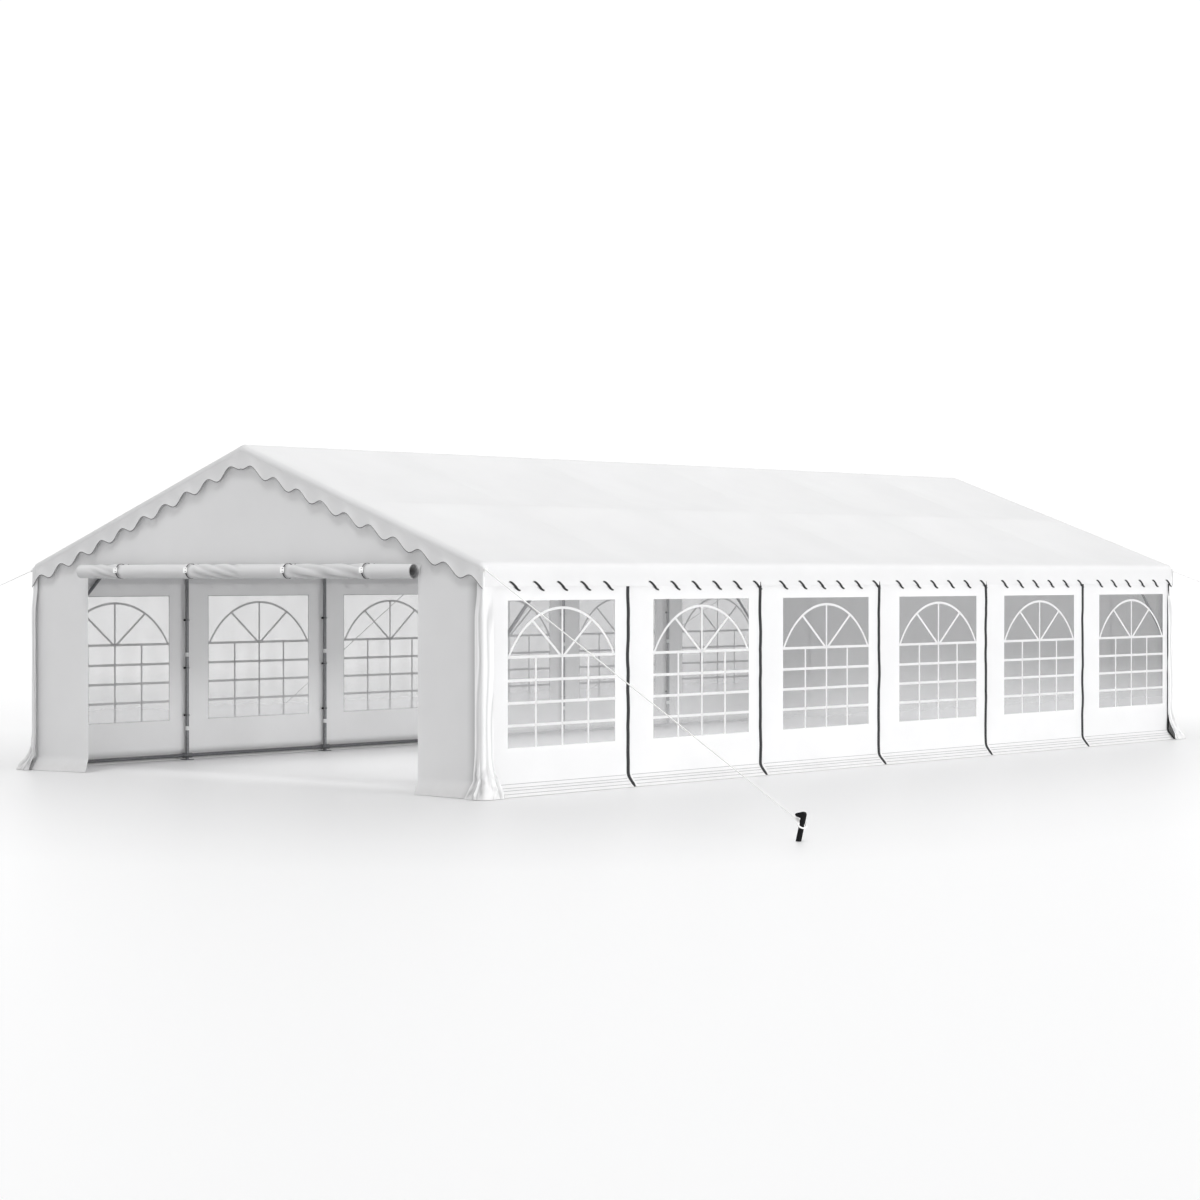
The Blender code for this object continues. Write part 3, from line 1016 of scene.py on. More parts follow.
@dataclass
class GableValance:
    """The scalloped strip below the edge of the roof at a gable, with a curled edge and a dark binding whose
    colour paints the shadow under the edge.
    """

    finish: Material
    shadow_edging: Material
    top_depth: float = 0.036
    pitch: float = 0.302
    wave: float = 0.038
    drop: float = 0.194
    columns: int = 240
    hem: float = 0.012
    cloth: float = 0.0018
    stand_off: float = 0.0019
    curl: float = 0.014
    least_curl: float = 0.35
    wrinkle_size: float = 0.16
    wrinkle_depth: float = 0.004
    # The dark binding along the edge, dark as painted shadow under it: its width and how far it stands proud
    binding_width: float = 0.007
    binding_height: float = 0.0007

    def edge(self, x: float) -> float:
        """Height of the scalloped edge."""
        return roof_top(x) - self.drop - self.wave * math.cos(2 * math.pi * x / self.pitch)

    def place(self, across: float, up: float, lift: float) -> Vector:
        """Finds where a point of the flat strip hangs.

        Args:
            across: Its place from the left end.
            up: Its place up from the scalloped edge.
            lift: Its height off the strip.

        Returns:
            The place at the front.
        """
        x = across - FLAP_X
        low, high = self.edge(x), roof_top(x) - self.top_depth * STRETCH
        share = up / self.drop
        crest = 0.5 - 0.5 * math.cos(2 * math.pi * x / self.pitch)
        curl = self.curl * (1.0 - share) ** 2 * (self.least_curl + (1.0 - self.least_curl) * crest)
        wrinkle = (1.0 - share) * ripple(x, 1.0, up, self.wrinkle_size, self.wrinkle_depth)
        out = lift + curl + abs(wrinkle) - self.stand_off
        return Vector((x, -(HALF_LENGTH + out), low + (high - low) * share))

    def build(self) -> None:
        """Makes the front strip and its twin at the rear."""
        width = 2 * FLAP_X
        flat = Cut("front_scallops", width, self.drop, width / self.columns)
        sheet = flat.mark_out((), [self.hem, self.hem * 1.2])
        double(sheet, lambda _x, y: y <= self.hem + NEAR)
        lay(sheet, self.place)
        thicken(sheet, self.cloth)
        # The dark binding, whose colour paints the shadow under the scalloped edge
        shadow_binding = Cut("front_shadow_binding", width, self.binding_width, width / self.columns, 1.0).mark_out()
        lay(shadow_binding, lambda x, y, lift: self.place(x, y - self.binding_height, lift + self.binding_height))
        thicken(shadow_binding, self.cloth + 2 * self.binding_height)
        for end, mirror in (("front", None), ("rear", Mirror.ALONG)):
            strip, edge = (
                piece if mirror is None else mirrored(piece, f"rear_{kind}", mirror)
                for piece, kind in ((sheet, "scallops"), (shadow_binding, "shadow_binding"))
            )
            dress(strip, self.finish, Slot.CLOTH, (f"{end}_valance",))
            dress(edge, self.shadow_edging, Slot.CLOTH, (f"{end}_valance",))


# The walls


@dataclass
class WallSurface:
    """The outer face of a side wall: upright, with a skirt that kicks out over the ground."""

    skirt_out: float = 0.083
    skirt_rise: float = 0.1
    skirt_bend: float = 0.09
    foot: float = 0.003
    top: float = WALL_TOP
    section: Line = field(init=False)

    def __post_init__(self) -> None:
        """Lays out the section from the foot up."""
        self.section = Line(
            (self.skirt_out, self.foot), (0.0, self.skirt_rise, self.skirt_bend), (0.0, self.top), outside=-1
        )

    def level(self, height: float) -> float:
        """How far up the cloth a height on its upright part is."""
        return self.section.length - (self.top - height)

    def place(self, y: float, up: float, lift: float) -> Vector:
        """Where a point of the wall lies, by its place along the tent and its distance up the cloth."""
        spot, out = self.section.at(up)
        return Vector((WALL_X + spot.x + out.x * lift, y, spot.y + out.y * lift))


@dataclass
class SideWalls:
    """The wall panels, window film, window bars, grey rows of painted groove shade and seam strips of both
    long sides.
    """

    finishes: Finishes
    surface: WallSurface = field(default_factory=WallSurface)
    half_window: float = 0.725
    window_foot: float = 0.42
    window_head: float = 1.695
    film_edge: float = 0.007
    uneven_size: float = 0.5
    unevenness: float = 0.003
    taut_beside: float = 0.12
    taut_above_foot: float = 0.2
    spacing: float = 0.055
    hem: float = 0.028
    cloth: float = 0.0022
    film: float = 0.0006
    film_gap: float = 0.0004
    film_spacing: float = 0.09
    bar: float = 0.0008
    bar_step: float = 0.0002
    bar_wide: float = 0.025
    bar_slim: float = 0.023
    bar_spacing: float = 0.1
    arch_spacing: float = 0.05
    bar_levels: tuple[float, ...] = (0.611, 0.806, 1.001, 1.2045)
    bar_places: tuple[float, ...] = (-0.355, 0.355)
    arch_centre: float = 0.8186
    arch_radius: float = 0.81
    ray_foot: tuple[float, float] = (0.016, 1.204)
    ray_head: tuple[float, float] = (0.4, 1.519)
    # Grey rows along the skirt, as painted shade of its small grooves: their heights, width, thickness, lift
    # and spacing
    groove_shade_heights: tuple[float, ...] = (0.03, 0.066, 0.094, 0.13)
    groove_shade_width: float = 0.0045
    groove_shade_thickness: float = 0.0011
    groove_shade_lift: float = 0.0012
    groove_shade_spacing: float = 0.25
    strip_width: float = 0.043
    strip_columns: int = 6
    strip_spacing: float = 0.034
    strip_thickness: float = 0.003
    strip_lift: float = 0.0032
    strip_crown: float = 0.006
    strip_taper: float = 0.45
    strip_top: float = 1.852
    strip_shift: float = -0.008
    last_strip_shift: float = -0.055

    def window_y(self, bay: int) -> float:
        """The middle of a bay's window."""
        return FILM_LOW.y + FILM_MARGIN + self.half_window + bay * BAY

    def place(self, y: float, up: float, lift: float) -> Vector:
        """Where a point of a wall lies: taut round the windows, and slightly uneven elsewhere.

        Args:
            y: Its place along the tent.
            up: Its distance up the cloth from the foot.
            lift: Its height off the cloth's outer face.

        Returns:
            The place on the right side.
        """
        height = self.surface.section.at(up)[0].y
        bay = min(BAYS - 1, max(0, int((y + HALF_LENGTH) / BAY)))
        beside = abs(y - self.window_y(bay)) - self.half_window
        beyond = max(self.window_foot - height, height - self.window_head)
        slack = ease((max(beside, beyond) - self.film_edge) / self.taut_beside)
        slack *= ease(height / self.taut_above_foot)
        bump = ripple(4.0, y, height, self.uneven_size, self.unevenness)
        return self.surface.place(y, up, lift + slack * bump)

    def panel(self, bay: int) -> None:
        """Makes one wall panel with its window cut through, and its twin on the left side.

        Args:
            bay: The bay, counted from 0 at the front.
        """
        low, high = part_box(f"right_wall_{bay + 1}")
        width, length = high.y - low.y, self.surface.section.length
        middle = self.window_y(bay) - low.y
        sides = (middle - self.half_window, middle + self.half_window)
        sill, head = self.surface.level(self.window_foot), self.surface.level(self.window_head)
        hem = self.hem
        across = [hem, width - hem, *sides, sides[0] - hem, sides[1] + hem]
        along = [hem, length - hem, sill, head, sill - hem, head + hem]
        along += self.surface.section.bend_marks(WIDE_STEP)
        sheet = Cut(f"right_panel_{bay + 1}", width, length, self.spacing).mark_out(across, along)
        cut_out(sheet, (sides[0], sill), (sides[1], head))

        def is_double(x: float, y: float) -> bool:
            """Tells whether a point of the flat panel lies on a hem."""
            reach = hem + NEAR
            border = min(x, width - x, y, length - y) <= reach
            beside = sides[0] - reach <= x <= sides[1] + reach
            return border or (beside and sill - reach <= y <= head + reach)

        double(sheet, is_double)
        lay(sheet, lambda x, y, lift: self.place(low.y + x, y, lift))
        thicken(sheet, self.cloth)
        area = width * length - 2 * self.half_window * (head - sill)
        twin = mirrored(sheet, f"left_panel_{bay + 1}", Mirror.ACROSS)
        for piece, side in ((sheet, "right"), (twin, "left")):
            dress(piece, self.finishes.wall, Slot.CLOTH, (f"{side}_wall_{bay + 1}",))

    def window(self, bay: int) -> None:
        """Makes a bay's film and its welded bars, on both sides.

        Args:
            bay: The bay, counted from 0 at the front.
        """
        middle = self.window_y(bay)
        half, low = self.half_window + self.film_edge, self.surface.level(self.window_foot - self.film_edge)
        high = self.surface.level(self.window_head + self.film_edge)
        inside = -(self.cloth + self.film_gap)
        film = Cut(f"right_film_{bay + 1}", 2 * half, high - low, self.film_spacing).mark_out()
        lay(film, lambda x, y, lift: self.place(middle - half + x, low + y, lift + inside))
        thicken(film, self.film)
        strips = self.bars()
        lay(strips, lambda x, y, lift: self.place(middle + x, self.surface.level(y), lift + inside))
        named(strips, f"right_window_bars_{bay + 1}")
        for piece, kind, material, slot in (
            (strips, "window_bars", self.finishes.bar, Slot.CLOTH),
            (film, "film", self.finishes.film, Slot.FILM),
        ):
            twin = mirrored(piece, f"left_{kind}_{bay + 1}", Mirror.ACROSS)
            for made, side in ((piece, "right"), (twin, "left")):
                dress(made, material, slot, (f"{side}_window_film",))
                if kind == "film":
                    2 * half
                    high - low

    def strip(self, ends: tuple[float, float, float, float], width: float, layer: int) -> Piece:
        """A straight welded strip in the plane of the window, with x along the tent and y as the height.

        Args:
            ends: The x and y of its start, then of its end.
            width: How wide it is.
            layer: 0 if it lies on the film, and one more for each strip under it.

        Returns:
            The flat strip, with its thickness.
        """
        start, end = Vector((*ends[:2], 0.0)), Vector((*ends[2:], 0.0))
        flat = Cut("strip", (end - start).length, width, self.bar_spacing).mark_out()
        turn = Matrix.Rotation(math.atan2(end.y - start.y, end.x - start.x), 4, "Z")
        flat.data.transform(Matrix.Translation(start) @ turn @ Matrix.Translation((0.0, -width / 2, 0.0)))
        return self.weld_on(flat, layer)

    def weld_on(self, flat: Piece, layer: int) -> Piece:
        """Gives a flat strip its thickness, from the film up to its own layer."""
        flat.data.transform(Matrix.Translation((0.0, 0.0, self.bar + layer * self.bar_step)))
        apply(flat, "SOLIDIFY", thickness=self.bar, offset=-1.0)
        return flat

    def arch(self) -> Piece:
        """The arched strip over the springing bar."""
        rise = self.bar_levels[-1] - self.arch_centre
        reach = math.acos(rise / self.arch_radius)
        width = self.bar_slim
        flat = Cut("arch", 2 * reach * self.arch_radius, width, self.arch_spacing).mark_out()

        def bend(x: float, y: float, lift: float) -> Vector:
            """Bends the straight strip round the arch."""
            angle = reach - x / self.arch_radius
            radius = self.arch_radius - width / 2 + y
            return Vector((-radius * math.sin(angle), self.arch_centre + radius * math.cos(angle), lift))

        lay(flat, bend)
        return self.weld_on(flat, 2)

    def bars(self) -> Piece:
        """All the strips of one window, joined, flat: x is counted from its middle, y is the height."""
        springing = self.bar_levels[-1]
        foot, top = self.window_foot, self.arch_centre + self.arch_radius
        strips = [self.strip((x, foot, x, springing), self.bar_slim, 0) for x in self.bar_places]
        strips.append(self.strip((0.0, foot, 0.0, top), self.bar_slim, 0))
        for side in (-1, 1):
            (x0, y0), (x1, y1) = self.ray_foot, self.ray_head
            strips.append(self.strip((side * x0, y0, side * x1, y1), self.bar_slim, 0))
        reach = self.half_window
        strips += [self.strip((-reach, y, reach, y), self.bar_wide, 1) for y in self.bar_levels]
        strips.append(self.arch())
        return join("window_bars", strips)

    def groove_shade(self, bay: int, low: float, high: float) -> None:
        """Makes the thin grey rows along the foot of a panel, which paint the shade of small grooves, on
        both sides.

        Args:
            bay: The bay, counted from 0 at the front.
            low: Where the rows start along the tent.
            high: Where they end.
        """
        rows = []
        for height in self.groove_shade_heights:
            row = Cut("groove_shade", high - low, self.groove_shade_width, self.groove_shade_spacing).mark_out()
            lay(row, lambda x, y, lift: self.place(low + x, height + y, lift + self.groove_shade_lift))
            thicken(row, self.groove_shade_thickness)
            rows.append(row)
        right = join(f"right_piping_{bay + 1}", rows)
        dress_both(right, f"left_piping_{bay + 1}", self.finishes.groove_shade, Slot.CLOTH)

    def seam_strip(self, number: int, y: float) -> None:
        """Makes a black strip down a seam and out over the skirt, slightly wavy, on both sides.

        Args:
            number: The seam, counted from 1 behind the first bay. Each wanders in its own way.
            y: Where the strip runs.
        """
        length = self.surface.level(self.strip_top)
        width, columns = self.strip_width, self.strip_columns
        marks = self.surface.section.bend_marks(WIDE_STEP)
        middle = [width * part / columns for part in range(1, columns)]
        flat = Cut(f"right_seam_strip_{number}", width, length, self.strip_spacing)
        sheet = flat.mark_out(middle, marks)

        def place(x: float, up: float, lift: float) -> Vector:
            """Runs the strip down the seam."""
            wander = ripple(number * 3.7, 0.0, up, 0.22, 0.011) + ripple(number * 1.3, 5.0, up, 0.07, 0.003)
            full = ease((length - up) / 0.03) * ease(up / 0.05 + 0.3)
            taper = self.strip_taper + (1.0 - self.strip_taper) * full
            crown = self.strip_crown * math.cos(math.pi * (x / width - 0.5))
            out = lift + self.strip_lift + crown
            return self.place(y + wander + (x - width / 2) * taper, up, out)

        lay(sheet, place)
        thicken(sheet, self.strip_thickness)
        dress_both(sheet, f"left_seam_strip_{number}", self.finishes.elastic, Slot.PLASTIC, 70.0)

    def build(self) -> None:
        """Makes every bay of both sides."""
        for bay in range(BAYS):
            self.panel(bay)
            self.window(bay)
            low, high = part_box(f"right_wall_{bay + 1}")
            self.groove_shade(bay, low.y + self.strip_width, high.y - self.strip_width)
            shift = self.strip_shift + (self.last_strip_shift if bay == BAYS - 1 else 0.0)
            self.seam_strip(bay + 1, seam_y(bay + 1) + shift)


@dataclass
class Lacing:
    """The black elastic that ties each wall to the roof's valance, and the eyelets that it runs through."""

    finishes: Finishes
    pitch: float = 0.316
    first: float = 0.285
    first_front: float = 0.37
    count: int = 6
    reach: float = 0.15
    top: float = 1.857
    foot: float = 1.782
    width: float = 0.022
    thickness: float = 0.0035
    spacing: float = 0.0125
    slack: float = 0.01
    end_width: float = 0.4
    crown: float = 0.001
    stand_off: float = 0.0045
    step_rise: float = 0.03
    eyelet_radius: float = 0.0095
    eyelet_rim: float = 0.004
    eyelet_thickness: float = 0.0024
    eyelet_edge: float = 0.0008

    def band(self) -> Piece:
        """One S-shaped band in its place, with y counted from its upper end."""
        drop = self.top - self.foot
        length = math.hypot(self.reach, drop) + self.slack
        flat = Cut("band", length, self.width, self.spacing).mark_out((), [self.width / 2])

        def place(x: float, y: float, lift: float) -> Vector:
            """Bends the band down from the valance to the wall."""
            share = x / length
            middle = Vector((share * self.reach, -drop * ease(share)))
            slant = Vector((self.reach, -drop * 6.0 * share * (1.0 - share))).normalized()
            across = y - self.width / 2
            taper = self.end_width + (1.0 - self.end_width) * math.sin(math.pi * share) ** 0.5
            spot = middle + Vector((-slant.y, slant.x)) * across * taper
            height = self.top + spot.y
            step = ease((VALANCE_FOOT + 0.008 - height) / self.step_rise)
            out = HALF_WIDTH + self.stand_off - step * (HALF_WIDTH - WALL_X)
            out += self.crown * math.cos(math.pi * across / self.width)
            return Vector((out, spot.x, height))

        lay(flat, place)
        thicken(flat, self.thickness)
        return flat

    def eyelet(self) -> Piece:
        """One pressed ring about the x axis, at the origin."""
        put_down()
        bpy.ops.mesh.primitive_circle_add(
            vertices=14, radius=self.eyelet_radius, fill_type="NGON", rotation=(0.0, math.pi / 2, 0.0)
        )
        ring = named(bpy.context.object, "eyelet")
        set_in_place(ring)
        with shaping(ring):
            take_all()
            bpy.ops.mesh.inset(thickness=self.eyelet_rim)
            bpy.ops.mesh.delete(type="FACE")
            turn_outwards()
        apply(ring, "SOLIDIFY", thickness=self.eyelet_thickness, offset=0.0)
        apply(ring, "BEVEL", width=self.eyelet_edge, segments=2)
        return ring

    def build(self) -> None:
        """Ties every bay, on both sides."""
        band, ring = self.band(), self.eyelet()
        for bay in range(BAYS):
            bands, rings = [], []
            for number in range(self.count - (bay == 0)):
                y = seam_y(bay) + (self.first if bay else self.first_front) + number * self.pitch
                bands.append(copied(band, "band", Matrix.Translation((0.0, y, 0.0))))
                spots = ((HALF_WIDTH + 0.0008, 0.0, self.top), (WALL_X + 0.0014, self.reach, self.foot))
                for out, shift, height in spots:
                    rings.append(copied(ring, "ring", Matrix.Translation((out, y + shift, height))))
            for kind, parts, material, slot in (
                ("lacing", bands, self.finishes.elastic, Slot.PLASTIC),
                ("eyelets", rings, self.finishes.eyelet, Slot.STEEL),
            ):
                right = join(f"right_{kind}_{bay + 1}", parts)
                dress_both(right, f"left_{kind}_{bay + 1}", material, slot, 60.0)
        delete(band, ring)


@dataclass
class GableWalls:
    """The cloth of each gable, one sheet from the roof to its skirts, with the doorway cut out of it."""

    finishes: Finishes
    surface: WallSurface = field(
        default_factory=lambda: WallSurface(0.1, 0.125, 0.05, foot=0.005, top=DOOR_TOP)
    )
    top_depth: float = 0.022
    tuck: float = 0.04
    peak: float = 1.1
    spacing: float = 0.06
    hem: float = 0.03
    seam: float = 1.07
    seam_width: float = 0.028
    cloth: float = 0.0024
    door_flare: float = 0.012
    door_kick: float = 0.45
    kick_reach: float = 0.7
    taut_edge: float = 0.15
    # The painted shadow on the gable cloth beside the right corner flap: its darkest place, its width, and
    # how it fades
    flap_shadow_place: float = 2.905
    flap_shadow_width: float = 0.13
    flap_shadow_strength: float = 0.62
    flap_shadow_power: float = 1.5
    flap_shadow_fade: float = 0.08

    def flap_shadow(self, across: float, up: float) -> float:
        """How much painted shadow a point of the flat sheet gets beside the right corner flap, from 0 to 1.
        """
        share = 1.0 - (self.flap_shadow_place - across + GABLE_X) / self.flap_shadow_width
        depth = self.flap_shadow_strength * max(0.0, share) ** self.flap_shadow_power
        return depth * ease((DOOR_TOP - up) / self.flap_shadow_fade)

    def place(self, across: float, up: float, lift: float) -> Vector:
        """Finds where a point of the flat front sheet hangs.

        Args:
            across: Its place from the left edge.
            up: Its place up from the foot.
            lift: Its height off the sheet.

        Returns:
            The place.
        """
        x = across - GABLE_X
        lower = self.surface.section.length
        spot, out = self.surface.section.at(min(up, lower))
        height = spot.y
        if up > lower:
            reach = roof_top(x) - self.top_depth * STRETCH - DOOR_TOP
            height = DOOR_TOP + reach * (up - lower) / self.peak
        pull = ripple(x, 7.0, height, 0.55, 0.004) + ripple(x * 0.6, 9.0, height * 2.0, 0.25, 0.0016)
        lift += (pull - 0.001) * ease((GABLE_X - abs(x)) / self.taut_edge)
        kick = self.door_kick + (1.0 - self.door_kick) * ease((abs(x) - DOOR_HALF) / self.kick_reach)
        x -= math.copysign(self.door_flare * (1.0 - kick) * ease(1.0 - height / self.surface.skirt_rise), x)
        return Vector((x, -(GABLE_Y + kick * spot.x + out.x * lift), height + out.y * lift))

    def build(self) -> None:
        """Makes the front sheet and its twin at the rear."""
        width, lower = 2 * GABLE_X, self.surface.section.length
        length, hem = lower + self.peak, self.hem
        door = (GABLE_X - DOOR_HALF, GABLE_X + DOOR_HALF)
        seams = [GABLE_X + side * self.seam + shift for side in (-1, 1) for shift in (0.0, self.seam_width)]
        steps = [seam + off for seam, off in zip(seams, (-0.002, 0.002, -0.002, 0.002))]
        # Edges across the painted shadow beside the right corner flap
        band = [GABLE_X + self.flap_shadow_place - self.flap_shadow_width * part / 4 for part in range(5)]
        across = [hem, width - hem, *door, door[0] - hem, door[1] + hem, *seams, *steps, *band]
        along = [hem, lower, lower + hem, *self.surface.section.bend_marks(WIDE_STEP)]
        sheet = Cut("front_gable_wall", width, length, self.spacing).mark_out(across, along)
        cut_out(sheet, (door[0], -1.0), (door[1], lower))

        def is_double(x: float, y: float) -> bool:
            """Tells whether a point of the flat sheet lies on a hem or a seam."""
            reach = hem + NEAR
            if min(x, width - x, y) <= reach:
                return True
            if y > lower - NEAR:
                on_seam = any(low - NEAR <= x <= high + NEAR for low, high in zip(seams[::2], seams[1::2]))
                return on_seam or (y <= lower + reach and door[0] <= x <= door[1])
            return door[0] - reach <= x <= door[1] + reach

        double(sheet, is_double)
        # Painted shadow beside the right corner flap
        mark_painted_shade(sheet, self.flap_shadow)
        lay(sheet, self.place)
        thicken(sheet, self.cloth)
        rear = mirrored(sheet, "rear_gable_wall", Mirror.ALONG)
        for piece, end in ((sheet, "front"), (rear, "rear")):
            nodes = (f"{end}_gable_cloth", f"{end}_side_cloth_left", f"{end}_side_cloth_right")
            dress(piece, self.finishes.gable, Slot.CLOTH, nodes)


@dataclass
class RearDoor:
    """The closed rear door: a curtain in soft upright folds, between two zips."""

    finishes: Finishes
    surface: WallSurface = field(
        default_factory=lambda: WallSurface(0.1, 0.125, 0.05, foot=0.005, top=DOOR_TOP - 0.001)
    )
    clearance: float = 0.002
    lowest: float = 0.001
    spacing: float = 0.045
    hem: float = 0.03
    cloth: float = 0.0022
    # Soft folds: how many radians a metre, how deep, and how far from the sides and the top they are full
    fold_rate: float = 9.0
    fold_wander: float = 2.0
    fold_depth: float = 0.012
    fold_side: float = 0.3
    fold_top: float = 0.5
    tape: float = 0.032
    tape_spacing: float = 0.04
    tape_thickness: float = 0.0011
    zip_end: float = 0.01
    zip_lift: float = 0.0012
    tooth_pitch: float = 0.009
    tooth_size: tuple[float, float, float] = (0.008, 0.005, 0.0024)

    def place(self, across: float, up: float, lift: float) -> Vector:
        """Finds where a point of the flat curtain hangs.

        Args:
            across: Its place from the edge on the tent's right.
            up: Its place up from the foot.
            lift: Its height off the curtain.

        Returns:
            The place.
        """
        x = DOOR_HALF - self.clearance - across
        spot, out = self.surface.section.at(up)
        hang = ease((DOOR_HALF - abs(x)) / self.fold_side) * ease((DOOR_TOP - spot.y) / self.fold_top)
        wander = self.fold_wander * noise.noise(Vector((x, spot.y * 0.6, 2.0)))
        folds = 0.5 + 0.5 * math.sin(x * self.fold_rate + wander)
        lift += hang * (self.fold_depth * folds + ripple(x, 3.0, spot.y, 0.4, 0.004))
        height = max(spot.y + out.y * lift, self.lowest)
        return Vector((x, GABLE_Y + spot.x + out.x * lift, height))

    def zips(self) -> None:
        """The two zips: a tape down each edge of the door, and its row of teeth."""
        length = self.surface.section.length - 2 * self.zip_end
        marks = self.surface.section.bend_marks(WIDE_STEP)
        tape = Cut("rear_zip_left", self.tape, length, self.tape_spacing).mark_out((), marks)

        def along_edge(x: float, up: float, lift: float) -> Vector:
            """Runs the tape up the left edge of the doorway, seen from outside."""
            spot, out = self.surface.section.at(up + self.zip_end)
            lift += self.zip_lift
            side = DOOR_HALF + self.tape / 2 - x
            return Vector((side, GABLE_Y + spot.x + out.x * lift, spot.y + out.y * lift))

        lay(tape, along_edge)
        thicken(tape, self.tape_thickness)
        put_down()
        bpy.ops.mesh.primitive_cube_add(
            size=1.0, location=(self.tape / 2, 0.0, self.tooth_size[2] / 2), scale=self.tooth_size
        )
        tooth = named(bpy.context.object, "tooth")
        set_in_place(tooth)
        with shaping(tooth):
            pick(tooth, Pick.FACES, lambda _m, normal: normal.z > 0.9)
            bpy.ops.transform.resize(value=(0.7, 0.6, 1.0))
        step = {"use_constant_offset": True, "constant_offset_displace": (0.0, self.tooth_pitch, 0.0)}
        apply(tooth, "ARRAY", count=int(length / self.tooth_pitch), use_relative_offset=False, **step)
        lay(tooth, along_edge)
        named(tooth, "rear_zip_teeth_left")
        for piece, kind, material in (
            (tape, "rear_zip", self.finishes.gable),
            (tooth, "rear_zip_teeth", self.finishes.white),
        ):
            dress_both(piece, f"{kind}_right", material, Slot.CLOTH)

    def build(self) -> None:
        """Hangs the curtain and its zips."""
        width, length = 2 * (DOOR_HALF - self.clearance), self.surface.section.length
        hem = self.hem
        marks = [hem, length - hem, *self.surface.section.bend_marks(WIDE_STEP)]
        sheet = Cut("rear_door", width, length, self.spacing).mark_out([hem, width - hem], marks)
        double(sheet, lambda x, y: min(x, width - x, y, length - y) <= hem + NEAR)
        lay(sheet, self.place)
        thicken(sheet, self.cloth)
        dress(sheet, self.finishes.gable, Slot.CLOTH, ("rear_door_curtain",))
        self.zips()


